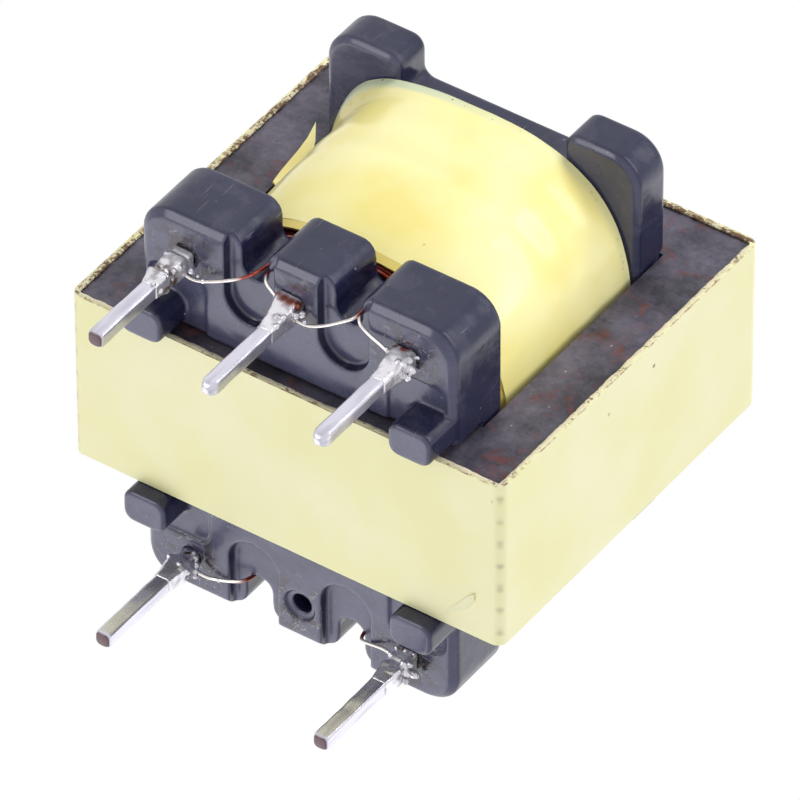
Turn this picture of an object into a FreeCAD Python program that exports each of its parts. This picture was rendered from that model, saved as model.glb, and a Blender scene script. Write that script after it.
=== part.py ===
import FreeCAD, Part
import math
import os
from FreeCAD import Vector

# A small mains transformer that stands upright on a circuit board. Millimetres throughout.
# X runs along the two rows of pins, Y runs through the stack of steel sheets, and +Z points
# away from the board. The origin is the middle of the footprint, on the plane of the four feet.

# Steel sheets: one E and one I make a layer, and every other layer is turned end for end
CENTRE_LEG = 3.5
OUTER_LEG = 1.75
YOKE = 1.75
WINDOW_WIDTH = 3.5
WINDOW_HEIGHT = 8.7
SHEET_THICKNESS = 0.4
SHEET_COUNT = 14

# Tape band wound round the edges of the sheets
BAND_THICKNESS = 0.15
BAND_OVERHANG = 0.05
BAND_CORNER_RADIUS = 0.3

# Heights above the board
BAND_GAP = 0.5
FOOT_HEIGHT = 1.1

# Bobbin tube and flanges, with the running clearances to the core
LEG_CLEARANCE = 0.1
TUBE_WALL = 0.5
TUBE_CORNER_RADIUS = 0.3
SIDE_CLEARANCE = 0.05
PIN_END_CLEARANCE = 0.05
TOP_END_CLEARANCE = 0.1
PIN_FLANGE_THICKNESS = 0.9
TOP_FLANGE_THICKNESS = 1.1
FLANGE_EDGE_BEVEL = 0.15

# Ears of the top flange and the lower web between them, measured outwards from the rail line.
# Clear of the core the flange is thicker than it can be inside the window.
EAR_RISE = 0.3
EAR_DEPTH = 3.85
EAR_WIDTH = 2.48
EAR_OUTER_RADIUS = 1.0
EAR_INNER_RADIUS = 0.45
WEB_DEPTH = 2.55
WEB_CORNER_RADIUS = 0.3

# Pin rails, one on each side of the core
RAIL_CLEARANCE = 0.05
RAIL_DEPTH = 3.8
RAIL_END_RADIUS = 1.0
RAIL_EDGE_BEVEL = 0.22

# Slots that let the wires through a rail, and the shallow channel round each slot's mouth
SLOT_OFFSET = 1.55
SLOT_WIDTH = 0.85
SLOT_DEPTH = 1.3
SLOT_MOUTH_RADIUS = 0.5
CHANNEL_WIDTH = 1.65
CHANNEL_REACH = 1.4
CHANNEL_DEPTH = 0.3

# Feet under the rails, and the shallow pocket that each foot stands in
FOOT_LENGTH = 1.4
FOOT_DEPTH = 1.08
FOOT_END_INSET = 0.05
FOOT_CORNER_RADIUS = 0.35
FOOT_EDGE_BEVEL = 0.08
POCKET_LENGTH = 1.9
POCKET_DEPTH_Y = 1.9
POCKET_END_INSET = 0.3
POCKET_CORNER_RADIUS = 0.4
POCKET_DEPTH = 0.1

# Pins and their holes
PIN_SIDE = 0.5
PIN_PITCH = 3.65
PIN_ROW_INSET = 1.25
PIN_REACH = 3.1
PIN_SEAT = 1.8
PIN_EDGE_BEVEL = 0.05
PIN_TIP_BEVEL = 0.04
HOLE_DIAMETER = 0.6
HOLE_RING_DIAMETER = 1.0
HOLE_RING_DEPTH = 0.13

# Coil, built outwards from the tube. The outer layers have swollen sides and wide corner arcs.
COIL_SIDE_CLEARANCE = 0.1
COIL_TOP_CLEARANCE = 0.05
LEAD_GAP = 0.2
INNER_WINDING_BUILD = 1.4
INSULATION_THICKNESS = 0.08
COIL_TAPE_THICKNESS = 0.18
COIL_BUILD_PIN_END = 2.45
COIL_BUILD_MIDDLE = 2.95
COIL_BUILD_TOP_END = 3.05
COIL_MIDDLE_SHARE = 0.45
COIL_FRONT_RADIUS = 12.4
COIL_SIDE_RADIUS = 25.0
COIL_CORNER_RADIUS = 2.8

# Wire ends, which run straight between sharp bends, and the solder that holds them
WIRE_DIAMETER = 0.13
WIRE_SIDES = 12
WIRE_FLANGE_GAP = 0.035
WIRE_SLOT_GAP = 0.085
WIRE_SIDE_STEP = 0.12
WIRE_PIN_GAP = 0.01
WIRE_RAIL_GAP = 0.085
WRAP_PITCH = 0.17
WRAP_LAST_SIDE = 0.4
WIRE_OUTER_TAIL = 0.5
WIRE_INNER_TAIL = 1.15
SOLDER_LENGTH = 0.75
SOLDER_ROOT_RADIUS = 0.5
SOLDER_TIP_RADIUS = 0.38

# Worked out: the core
core_half_width = CENTRE_LEG / 2 + WINDOW_WIDTH + OUTER_LEG
stack_half_depth = SHEET_THICKNESS * SHEET_COUNT / 2
core_bottom = BAND_GAP + BAND_THICKNESS
window_bottom = core_bottom + YOKE
window_top = window_bottom + WINDOW_HEIGHT
core_top = window_top + YOKE
window_outer = CENTRE_LEG / 2 + WINDOW_WIDTH
band_half_depth = stack_half_depth + BAND_OVERHANG

# Worked out: the bobbin
bore_half_x = CENTRE_LEG / 2 + LEG_CLEARANCE
bore_half_y = stack_half_depth + LEG_CLEARANCE
tube_half_x = bore_half_x + TUBE_WALL
tube_half_y = bore_half_y + TUBE_WALL
flange_half_x = window_outer - SIDE_CLEARANCE
pin_flange_bottom = window_bottom + PIN_END_CLEARANCE
pin_flange_top = pin_flange_bottom + PIN_FLANGE_THICKNESS
top_flange_top = window_top - TOP_END_CLEARANCE
top_flange_bottom = top_flange_top - TOP_FLANGE_THICKNESS
rail_inner = band_half_depth + RAIL_CLEARANCE
rail_outer = rail_inner + RAIL_DEPTH
rail_height = pin_flange_top - FOOT_HEIGHT
slot_floor = rail_outer - SLOT_DEPTH
pin_row = rail_outer - PIN_ROW_INSET

# Worked out: the coil and the wires
coil_half_x = window_outer - COIL_SIDE_CLEARANCE
coil_bottom = pin_flange_top + LEAD_GAP
coil_top = top_flange_bottom - COIL_TOP_CLEARANCE
wire_radius = WIRE_DIAMETER / 2
wire_run_z = pin_flange_top + WIRE_FLANGE_GAP + wire_radius
wire_slot_y = slot_floor + WIRE_SLOT_GAP + wire_radius
wrap_z = FOOT_HEIGHT - WIRE_RAIL_GAP - wire_radius
wrap_half = PIN_SIDE / 2 + WIRE_PIN_GAP + wire_radius

# Pins by number: the place along X and the side of the core that each stands on
NEAR_ROW = -1
FAR_ROW = 1
pin_places = {
    1: (-PIN_PITCH, NEAR_ROW),
    2: (0.0, NEAR_ROW),
    3: (PIN_PITCH, NEAR_ROW),
    4: (-PIN_PITCH, FAR_ROW),
    5: (PIN_PITCH, FAR_ROW),
}
EMPTY_HOLE = (0.0, FAR_ROW)

# Wire ends: the pin, the slot's side, the tail into the coil and the layer of the wrap on the pin
lead_plan = {
    1: (1, -1, WIRE_OUTER_TAIL, 0),
    2: (2, -1, WIRE_OUTER_TAIL, 0),
    3: (2, 1, WIRE_OUTER_TAIL, 1),
    4: (3, 1, WIRE_OUTER_TAIL, 0),
    5: (4, -1, WIRE_INNER_TAIL, 0),
    6: (5, 1, WIRE_INNER_TAIL, 0),
}


def plan(z):
    """Places a flat point in a plane parallel to the board."""
    return lambda u, v: Vector(u, v, z)


def front(y):
    """Places a flat point in a plane parallel to the steel sheets."""
    return lambda u, v: Vector(u, y, v)


def rounded_outline(corners, place):
    """A closed outline of straight edges and tangent arcs, from (u, v, radius) corners."""
    count = len(corners)
    starts, ends, middles = [], [], []
    for i, (u, v, radius) in enumerate(corners):
        corner = Vector(u, v, 0)
        before = (Vector(*corners[i - 1][:2], 0) - corner).normalize()
        after = (Vector(*corners[(i + 1) % count][:2], 0) - corner).normalize()
        half_angle = before.getAngle(after) / 2
        reach = radius / math.tan(half_angle)
        starts.append(corner + before * reach)
        ends.append(corner + after * reach)
        inward = (before + after).normalize()
        middles.append(corner + inward * (radius / math.sin(half_angle) - radius))
    edges = []
    for i in range(count):
        if corners[i][2] > 0:
            arc_points = [place(p.x, p.y) for p in (starts[i], middles[i], ends[i])]
            edges.append(Part.Arc(*arc_points).toShape())
        run_start, run_end = ends[i], starts[(i + 1) % count]
        if run_start.distanceToPoint(run_end) > 1e-6:
            run = [place(p.x, p.y) for p in (run_start, run_end)]
            edges.append(Part.LineSegment(*run).toShape())
    return Part.Wire(edges)


def prism(corners, place, travel):
    """A solid swept straight along travel from a rounded outline."""
    return Part.Face(rounded_outline(corners, place)).extrude(travel)


def rectangle(u_low, v_low, u_high, v_high, radius=0.0):
    """The corners of a rectangle, all with one radius."""
    places = [(u_low, v_low), (u_high, v_low), (u_high, v_high), (u_low, v_high)]
    return [(u, v, radius) for u, v in places]


def disc(x, y, z, diameter, height):
    """An upright cylinder."""
    return Part.makeCylinder(diameter / 2, height, Vector(x, y, z))


def across(shape):
    """The mirror image on the other side of the core."""
    return shape.mirror(Vector(0, 0, 0), Vector(0, 1, 0))


def sheet_y(index):
    """The face of a sheet that looks towards the near row of pins."""
    return -stack_half_depth + index * SHEET_THICKNESS


def e_lamination(index):
    """An E sheet: a yoke with three legs, turned end for end in every other layer."""
    yoke_up = index % 2 == 0
    yoke_edge, root, leg_end = (core_top, window_top, window_bottom)
    if not yoke_up:
        yoke_edge, root, leg_end = (core_bottom, window_bottom, window_top)
    half_leg = CENTRE_LEG / 2
    corners = [
        (-core_half_width, yoke_edge, 0),
        (-core_half_width, leg_end, 0),
        (-window_outer, leg_end, 0),
        (-window_outer, root, 0),
        (-half_leg, root, 0),
        (-half_leg, leg_end, 0),
        (half_leg, leg_end, 0),
        (half_leg, root, 0),
        (window_outer, root, 0),
        (window_outer, leg_end, 0),
        (core_half_width, leg_end, 0),
        (core_half_width, yoke_edge, 0),
    ]
    return prism(corners, front(sheet_y(index)), Vector(0, SHEET_THICKNESS, 0))


def i_lamination(index):
    """An I sheet: the bar that closes the open ends of an E of the same layer."""
    low = core_bottom if index % 2 == 0 else window_top
    corners = rectangle(-core_half_width, low, core_half_width, low + YOKE)
    return prism(corners, front(sheet_y(index)), Vector(0, SHEET_THICKNESS, 0))


def core_tape():
    """The band of tape, drawn tight over the sheets' square corners."""
    depth = Vector(0, 2 * band_half_depth, 0)
    outer = rectangle(-core_half_width - BAND_THICKNESS, core_bottom - BAND_THICKNESS,
                      core_half_width + BAND_THICKNESS, core_top + BAND_THICKNESS, BAND_CORNER_RADIUS)
    inner = rectangle(-core_half_width, core_bottom, core_half_width, core_top)
    return prism(outer, front(-band_half_depth), depth).cut(prism(inner, front(-band_half_depth), depth))


def bevelled_edges(solid, size, chosen):
    """Bevels the edges whose middle point passes the test."""
    edges = [edge for edge in solid.Edges if chosen(edge.CenterOfMass)]
    return solid.makeChamfer(size, edges)


def rail_outline():
    """The near rail seen from the board: three blocks parted by two round-ended wire slots."""
    half_slot = SLOT_WIDTH / 2
    mouth = min(SLOT_MOUTH_RADIUS, SLOT_DEPTH - half_slot)
    corners = [(-flange_half_x, -rail_inner, 0), (-flange_half_x, -rail_outer, RAIL_END_RADIUS)]
    for centre in (-SLOT_OFFSET, SLOT_OFFSET):
        corners += [
            (centre - half_slot, -rail_outer, mouth),
            (centre - half_slot, -slot_floor, half_slot),
            (centre + half_slot, -slot_floor, half_slot),
            (centre + half_slot, -rail_outer, mouth),
        ]
    corners += [(flange_half_x, -rail_outer, RAIL_END_RADIUS), (flange_half_x, -rail_inner, 0)]
    return corners


def channel(centre):
    """The shallow channel that lets a wire lie below the rail's pin face."""
    half = CHANNEL_WIDTH / 2
    floor = -slot_floor + CHANNEL_REACH
    corners = [(centre - half, -rail_outer - half, 0), (centre + half, -rail_outer - half, 0),
               (centre + half, floor, half), (centre - half, floor, half)]
    return prism(corners, plan(FOOT_HEIGHT), Vector(0, 0, CHANNEL_DEPTH))


def foot_span(end_inset, length, side):
    """The low and high X of something set in from one end of a rail."""
    outer = side * (flange_half_x - end_inset)
    return sorted((outer, outer - side * length))


def foot_pocket(side):
    """The shallow pocket round a foot."""
    low, high = foot_span(POCKET_END_INSET, POCKET_LENGTH, side)
    corners = rectangle(low, -rail_inner - POCKET_DEPTH_Y, high, -rail_inner + POCKET_DEPTH_Y,
                        POCKET_CORNER_RADIUS)
    return prism(corners, plan(FOOT_HEIGHT), Vector(0, 0, POCKET_DEPTH))


def foot(side):
    """A foot that the part stands on, rooted in the rail above its bevelled edge."""
    low, high = foot_span(FOOT_END_INSET, FOOT_LENGTH, side)
    corners = rectangle(low, -rail_inner - FOOT_DEPTH, high, -rail_inner, FOOT_CORNER_RADIUS)
    root = RAIL_EDGE_BEVEL + POCKET_DEPTH
    solid = prism(corners, plan(0), Vector(0, 0, FOOT_HEIGHT + root))
    return bevelled_edges(solid, FOOT_EDGE_BEVEL, lambda p: p.z < FOOT_EDGE_BEVEL / 2)


def rail():
    """The near rail with its channels, pockets and feet, before the pin holes."""
    solid = prism(rail_outline(), plan(FOOT_HEIGHT), Vector(0, 0, rail_height))
    solid = bevelled_edges(solid, RAIL_EDGE_BEVEL,
                           lambda p: p.z < FOOT_HEIGHT + 0.01 and p.y < -rail_inner - 0.01)
    for centre in (-SLOT_OFFSET, SLOT_OFFSET):
        solid = solid.cut(channel(centre))
    for side in (-1, 1):
        solid = solid.cut(foot_pocket(side))
    for side in (-1, 1):
        solid = solid.fuse(foot(side))
    return solid


def top_flange():
    """The flange at the far end: four ears, with a lower web between each pair."""
    ear_tip = rail_inner + EAR_DEPTH
    web_edge = rail_inner + WEB_DEPTH
    ear_inner = flange_half_x - EAR_WIDTH
    near_side = [
        (-flange_half_x, -ear_tip, EAR_OUTER_RADIUS),
        (-ear_inner, -ear_tip, EAR_INNER_RADIUS),
        (-ear_inner, -web_edge, WEB_CORNER_RADIUS),
        (ear_inner, -web_edge, WEB_CORNER_RADIUS),
        (ear_inner, -ear_tip, EAR_INNER_RADIUS),
        (flange_half_x, -ear_tip, EAR_OUTER_RADIUS),
    ]
    far_side = [(-u, -v, radius) for u, v, radius in near_side]
    thickness = TOP_FLANGE_THICKNESS + EAR_RISE
    solid = prism(near_side + far_side, plan(top_flange_bottom), Vector(0, 0, thickness))
    off_middle = thickness / 2 - 0.01
    solid = bevelled_edges(solid, FLANGE_EDGE_BEVEL,
                           lambda p: abs(p.z - top_flange_bottom - thickness / 2) > off_middle)
    step = rectangle(-window_outer, -rail_inner, window_outer, rail_inner)
    return solid.cut(prism(step, plan(top_flange_top), Vector(0, 0, thickness)))


def pin_hole(x, row):
    """A blind round hole for a pin."""
    return disc(x, row * pin_row, FOOT_HEIGHT, HOLE_DIAMETER, PIN_SEAT)


def hole_ring(x, row):
    """The ring sunk round the mouth of a hole, which a pin's solder hides elsewhere."""
    return disc(x, row * pin_row, FOOT_HEIGHT, HOLE_RING_DIAMETER, HOLE_RING_DEPTH)


def bobbin(pins):
    """The moulding that carries the coil and the pins: a tube, two flanges and two notched rails."""
    tube_height = Vector(0, 0, top_flange_top - pin_flange_bottom)
    tube = prism(rectangle(-tube_half_x, -tube_half_y, tube_half_x, tube_half_y, TUBE_CORNER_RADIUS),
                 plan(pin_flange_bottom), tube_height)
    bore = prism(rectangle(-bore_half_x, -bore_half_y, bore_half_x, bore_half_y),
                 plan(pin_flange_bottom), tube_height)
    pin_flange = prism(rectangle(-flange_half_x, -rail_inner, flange_half_x, rail_inner),
                       plan(pin_flange_bottom), Vector(0, 0, PIN_FLANGE_THICKNESS))
    near_rail = rail()
    solid = tube.fuse([pin_flange, near_rail, across(near_rail), top_flange()]).cut(bore)
    for x, row in list(pin_places.values()) + [EMPTY_HOLE]:
        solid = solid.cut(pin_hole(x, row))
    solid = solid.cut(hole_ring(*EMPTY_HOLE))
    for pin_solid in pins:
        solid = solid.cut(pin_solid)
    return solid.removeSplitter()


def pin(number):
    """A square pin with bevelled edges, pressed into its rail."""
    x, row = pin_places[number]
    half = PIN_SIDE / 2
    y = row * pin_row
    solid = prism(rectangle(x - half, y - half, x + half, y + half), plan(-PIN_REACH),
                  Vector(0, 0, PIN_REACH + FOOT_HEIGHT + PIN_SEAT))
    solid = bevelled_edges(solid, PIN_EDGE_BEVEL, lambda p: abs(p.x - x) > 0.01 < abs(p.y - y))
    return bevelled_edges(solid, PIN_TIP_BEVEL, lambda p: p.z < -PIN_REACH + 0.01)


def swollen_outline(half_x, half_y, inset, z):
    """A closed outline of eight tangent arcs: two long sides, two ends and four wide corners."""
    end_radius, side_radius, corner = (radius - inset for radius in
                                       (COIL_FRONT_RADIUS, COIL_SIDE_RADIUS, COIL_CORNER_RADIUS))
    half_x -= inset
    half_y -= inset
    end_centre = Vector(0, half_y - end_radius, z)
    side_centre = Vector(half_x - side_radius, 0, z)
    between = end_centre - side_centre
    apart = between.Length
    side_reach = side_radius - corner
    end_reach = end_radius - corner
    along = (apart ** 2 + side_reach ** 2 - end_reach ** 2) / (2 * apart)
    aside = math.sqrt(side_reach ** 2 - along ** 2)
    axis = between.normalize()
    corner_centre = side_centre + axis * along + Vector(-axis.y, axis.x, 0) * aside
    on_side = side_centre + (corner_centre - side_centre).normalize() * side_radius
    on_end = end_centre + (corner_centre - end_centre).normalize() * end_radius
    outward = (on_side + on_end) * 0.5 - corner_centre
    bend = corner_centre + outward.normalize() * corner

    def turned(point, sign_x, sign_y):
        return Vector(sign_x * point.x, sign_y * point.y, z)

    arcs = []
    for sign_x, sign_y in ((1, 1), (-1, 1), (-1, -1), (1, -1)):
        arcs.append([turned(p, sign_x, sign_y) for p in (on_side, bend, on_end)])
    for sign_x in (1, -1):
        arcs.append([turned(on_side, sign_x, -1), Vector(sign_x * half_x, 0, z), turned(on_side, sign_x, 1)])
    for sign_y in (1, -1):
        arcs.append([turned(on_end, 1, sign_y), Vector(0, sign_y * half_y, z), turned(on_end, -1, sign_y)])
    edges = [Part.Arc(*arc).toShape() for arc in arcs]
    return Part.Wire(Part.__sortEdges__(edges))


def straight_layer(build):
    """The space inside one of the inner layers, wound tight over the tube's corners."""
    half_x, half_y = tube_half_x + build, tube_half_y + build
    outline = rectangle(-half_x, -half_y, half_x, half_y, TUBE_CORNER_RADIUS + build)
    return prism(outline, plan(coil_bottom), Vector(0, 0, coil_top - coil_bottom))


def swollen_layer(inset):
    """The space inside one of the outer layers, which swells towards the top flange."""
    height = coil_top - coil_bottom
    stations = [(0, COIL_BUILD_PIN_END), (COIL_MIDDLE_SHARE, COIL_BUILD_MIDDLE), (1, COIL_BUILD_TOP_END)]
    sections = [swollen_outline(coil_half_x, tube_half_y + build, inset, coil_bottom + share * height)
                for share, build in stations]
    return Part.makeLoft(sections, True, True)


def coil_pieces():
    """The coil from the inside out: winding, insulation, winding and the tape that closes it."""
    spaces = [straight_layer(0), straight_layer(INNER_WINDING_BUILD),
              straight_layer(INNER_WINDING_BUILD + INSULATION_THICKNESS),
              swollen_layer(COIL_TAPE_THICKNESS), swollen_layer(0)]
    names = ["inner_winding", "insulation_tape", "outer_winding", "coil_tape"]
    return {name: outer.cut(inner) for name, inner, outer in zip(names, spaces, spaces[1:])}


def lead_wire(number):
    """A wire end: out over the flange, down its slot, across to its pin and round the pin's four sides."""
    pin_number, slot_side, tail, layer = lead_plan[number]
    pin_x, row = pin_places[pin_number]
    heading = 1 if pin_x > slot_side * SLOT_OFFSET else -1
    x = slot_side * SLOT_OFFSET + heading * WIRE_SIDE_STEP
    y = row * wire_slot_y
    z = wrap_z - layer * WRAP_PITCH
    wrap_x = heading * wrap_half
    outer_y = row * (pin_row + wrap_half)
    inner_y = row * (pin_row - wrap_half)
    points = [
        Vector(x, y - row * tail, wire_run_z),
        Vector(x, y, wire_run_z),
        Vector(x, y, z),
        Vector(pin_x - wrap_x, outer_y, z),
        Vector(pin_x + wrap_x, outer_y, z),
        Vector(pin_x + wrap_x, inner_y, z),
        Vector(pin_x + wrap_x - heading * WRAP_LAST_SIDE, inner_y, z),
    ]
    turns = [2 * math.pi * side / WIRE_SIDES for side in range(WIRE_SIDES + 1)]
    ring = Part.makePolygon([points[0] + Vector(math.cos(a), 0, math.sin(a)) * wire_radius for a in turns])
    return Part.makePolygon(points).makePipeShell([ring], True, False, 1)


def solder_joint(number, pin_solid):
    """Solder run down a pin from the wire that is wrapped on its root."""
    x, row = pin_places[number]
    wraps = sum(1 for route in lead_plan.values() if route[0] == number)
    top = wrap_z - (wraps - 1) * WRAP_PITCH - wire_radius
    cone = Part.makeCone(SOLDER_TIP_RADIUS, SOLDER_ROOT_RADIUS, SOLDER_LENGTH,
                         Vector(x, row * pin_row, top - SOLDER_LENGTH))
    return cone.cut(pin_solid)


def build():
    """Every piece by its node name."""
    pieces = {f"pin_{number}": pin(number) for number in pin_places}
    pieces["bobbin"] = bobbin(list(pieces.values()))
    for index in range(SHEET_COUNT):
        pieces[f"e_lamination_{index + 1:02d}"] = e_lamination(index)
        pieces[f"i_lamination_{index + 1:02d}"] = i_lamination(index)
    pieces["core_tape"] = core_tape()
    pieces.update(coil_pieces())
    for number in lead_plan:
        pieces[f"lead_wire_{number}"] = lead_wire(number)
    for number in pin_places:
        pieces[f"solder_joint_{number}"] = solder_joint(number, pieces[f"pin_{number}"])
    return pieces


def single_solid(shape):
    """The one solid of a shape, without the compound that an operation may wrap it in."""
    return shape.Solids[0] if len(shape.Solids) == 1 else shape


def main():
    os.makedirs("parts", exist_ok=True)
    for name, shape in sorted(build().items()):
        solid = single_solid(shape)
        solid.exportStep(os.path.join("parts", name + ".step"))
        print(f"{name}: {len(shape.Solids)} solid, {solid.Volume:.3f} mm3, valid {solid.isValid()}")


main()
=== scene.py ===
"""Dresses a small laminated transformer, standing on its pins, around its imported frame.

Lengths are written in millimetres and turned to metres where a mesh or a node is made. X runs along
the two rows of pins, Y through the stack of steel sheets and Z away from the circuit board.
"""

import logging
import math
from dataclasses import dataclass
from enum import Enum, auto
from functools import partial
from typing import Callable, Sequence

import bmesh
import bpy
from mathutils import Matrix, Vector, noise


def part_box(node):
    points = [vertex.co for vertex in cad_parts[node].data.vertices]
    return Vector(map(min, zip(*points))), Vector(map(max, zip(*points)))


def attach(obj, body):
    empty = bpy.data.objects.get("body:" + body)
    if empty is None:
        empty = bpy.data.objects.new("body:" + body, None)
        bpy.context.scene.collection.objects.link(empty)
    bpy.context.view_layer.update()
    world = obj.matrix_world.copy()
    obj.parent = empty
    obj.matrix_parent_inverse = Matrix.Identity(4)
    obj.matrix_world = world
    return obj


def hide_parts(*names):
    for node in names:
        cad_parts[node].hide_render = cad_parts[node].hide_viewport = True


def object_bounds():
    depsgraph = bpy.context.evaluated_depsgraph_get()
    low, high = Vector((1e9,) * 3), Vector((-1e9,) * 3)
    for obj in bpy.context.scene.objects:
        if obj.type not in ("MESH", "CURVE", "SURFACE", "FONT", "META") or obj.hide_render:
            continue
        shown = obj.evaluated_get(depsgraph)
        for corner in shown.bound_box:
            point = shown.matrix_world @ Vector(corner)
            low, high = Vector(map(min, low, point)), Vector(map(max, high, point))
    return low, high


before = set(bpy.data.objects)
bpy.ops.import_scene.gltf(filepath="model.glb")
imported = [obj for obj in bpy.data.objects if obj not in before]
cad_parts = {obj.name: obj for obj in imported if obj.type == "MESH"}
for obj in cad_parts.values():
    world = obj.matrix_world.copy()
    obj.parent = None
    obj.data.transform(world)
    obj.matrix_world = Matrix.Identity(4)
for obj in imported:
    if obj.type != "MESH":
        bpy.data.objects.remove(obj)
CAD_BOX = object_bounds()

LOG = logging.getLogger("transformer")
MM = 0.001
BODY = "root"
SAME_POINT = 0.0005
SEAM_GAP = 0.002
# Nearly all of a noise texture's values lie between these two.
NOISE_SPAN = (0.3, 0.7)

# The types of node that the trees use most. A range takes a value, the two ends that the value runs
# between and the two ends that it is turned to.
RANGE = "ShaderNodeMapRange"
NOISE = "ShaderNodeTexNoise"
CELLS = "ShaderNodeTexVoronoi"
PAINTED = "ShaderNodeAttribute"
SPLIT = "ShaderNodeSeparateXYZ"
JOIN = "ShaderNodeCombineXYZ"
VECTOR_SUM = "ShaderNodeVectorMath"
PLACE = "GeometryNodeInputPosition"
MOVE = "GeometryNodeSetPosition"
GRID = "GeometryNodeMeshGrid"
CIRCLE = "GeometryNodeCurvePrimitiveCircle"
SWEEP = "GeometryNodeCurveToMesh"

Node = bpy.types.Node
Socket = bpy.types.NodeSocket
Tree = bpy.types.NodeTree
Material = bpy.types.Material
Mesh = bpy.types.Mesh
Colour = tuple[float, float, float, float]
Adder = Callable[..., Node]


class Sum(Enum):
    """The sums on numbers, each of them a setting of the Math node."""

    ADD = auto()
    SUBTRACT = auto()
    MULTIPLY = auto()
    MULTIPLY_ADD = auto()
    DIVIDE = auto()
    POWER = auto()
    ABSOLUTE = auto()
    SIGN = auto()
    SINE = auto()
    COSINE = auto()
    MAXIMUM = auto()
    PINGPONG = auto()


class Slot(Enum):
    """The material slots."""

    STEEL = "silicon_steel"
    TAPE = "polyester_tape"
    PLASTIC = "moulded_plastic"
    COPPER = "enamelled_copper"
    PIN = "tinned_steel"
    SOLDER = "solder"


def linear(hex_colour: str) -> Colour:
    """Turns an sRGB colour to the linear values that a shader takes.

    Args:
        hex_colour: Six hexadecimal digits after a hash.

    Returns:
        Linear red, green and blue, and an alpha of one.
    """
    parts = [int(hex_colour[i:i + 2], 16) / 255 for i in (1, 3, 5)]
    return tuple(p / 12.92 if p <= 0.04045 else ((p + 0.055) / 1.055) ** 2.4 for p in parts) + (1.0,)


def per_metre(feature: float) -> float:
    """The texture scale that gives a feature of that size in millimetres."""
    return 1.0 / (feature * MM)


def output_of(source: Node) -> Socket:
    """A node's first output that is in use."""
    return next(output for output in source.outputs if output.enabled)


def add_node(tree: Tree, kind: str | Sum, inputs: dict | Sequence = (), **settings: object) -> Node:
    """Adds a node with its settings, input values and links.

    Args:
        tree: The tree that gets the node.
        kind: The node's type name, or a sum.
        inputs: In the order of the sockets, or by their names or numbers, a value to set, or a node
            or socket to link from.
        **settings: The node's own properties.

    Returns:
        The new node.
    """
    if isinstance(kind, Sum):
        settings["operation"] = kind.name
        kind = "ShaderNodeMath"
    node = tree.nodes.new(kind)
    for name, value in settings.items():
        setattr(node, name, value)
    for key, value in inputs.items() if isinstance(inputs, dict) else enumerate(inputs):
        if isinstance(value, Node):
            value = output_of(value)
        if isinstance(value, Socket):
            tree.links.new(value, node.inputs[key])
        else:
            node.inputs[key].default_value = value
    return node


class Surface:
    """A material that is being made, with its shader and the place that its patterns read."""

    def __init__(self, name: str, constants: dict) -> None:
        """Starts the material with one shader.

        Args:
            name: The material's name.
            constants: Shader sockets that are the same all over the surface.
        """
        self.material = bpy.data.materials.new(name)
        self.material.use_nodes = True
        self.tree = self.material.node_tree
        self.tree.nodes.clear()
        self.add = partial(add_node, self.tree)
        self.shader = self.add("ShaderNodeBsdfPrincipled", constants)
        self.output = self.add("ShaderNodeOutputMaterial", {"Surface": self.shader})
        self.place = self.add("ShaderNodeTexCoord").outputs["Object"]

    def pattern(self, size: float, longer: Sequence[float] = (), turn: Sequence[float] = (0, 0, 0),
                **inputs: float) -> dict:
        """The inputs of a texture.

        Args:
            size: The size of its features in millimetres.
            longer: How many times longer they are along X, Y and Z, where they are drawn out.
            turn: The turn of the drawn out pattern about X, Y and Z, in radians.
            **inputs: The texture's other inputs.

        Returns:
            The inputs by socket name.
        """
        place = self.place
        if longer:
            scale = [1 / times for times in longer]
            place = self.add("ShaderNodeMapping", {"Vector": place, "Rotation": turn, "Scale": scale})
        return {"Vector": place, "Scale": per_metre(size), **inputs}

    def layered(self, ground: str, *layers: tuple[Node | Socket, str]) -> Node:
        """Lays colours over one another.

        Args:
            ground: The lowest colour.
            *layers: From the bottom up, the share at which a colour covers what lies below, and the
                colour.

        Returns:
            A node whose output is the colour on top.
        """
        colour = linear(ground)
        for share, over in layers:
            colour = self.add("ShaderNodeMix", {0: share, 6: colour, 7: linear(over)}, data_type="RGBA")
        return colour

    def finish(self, links: dict[str, Node], relief: Node, depth: float, strength: float) -> Material:
        """Links the shader's last sockets.

        Args:
            links: By shader socket, the node to link from.
            relief: The node that gives the height of the surface's relief.
            depth: The relief's depth in millimetres.
            strength: The share of the relief that shows.

        Returns:
            The finished material.
        """
        bump = self.add("ShaderNodeBump", {"Height": relief, "Distance": depth * MM, "Strength": strength})
        for name, source in {**links, "Normal": bump}.items():
            self.tree.links.new(output_of(source), self.shader.inputs[name])
        return self.material


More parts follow.
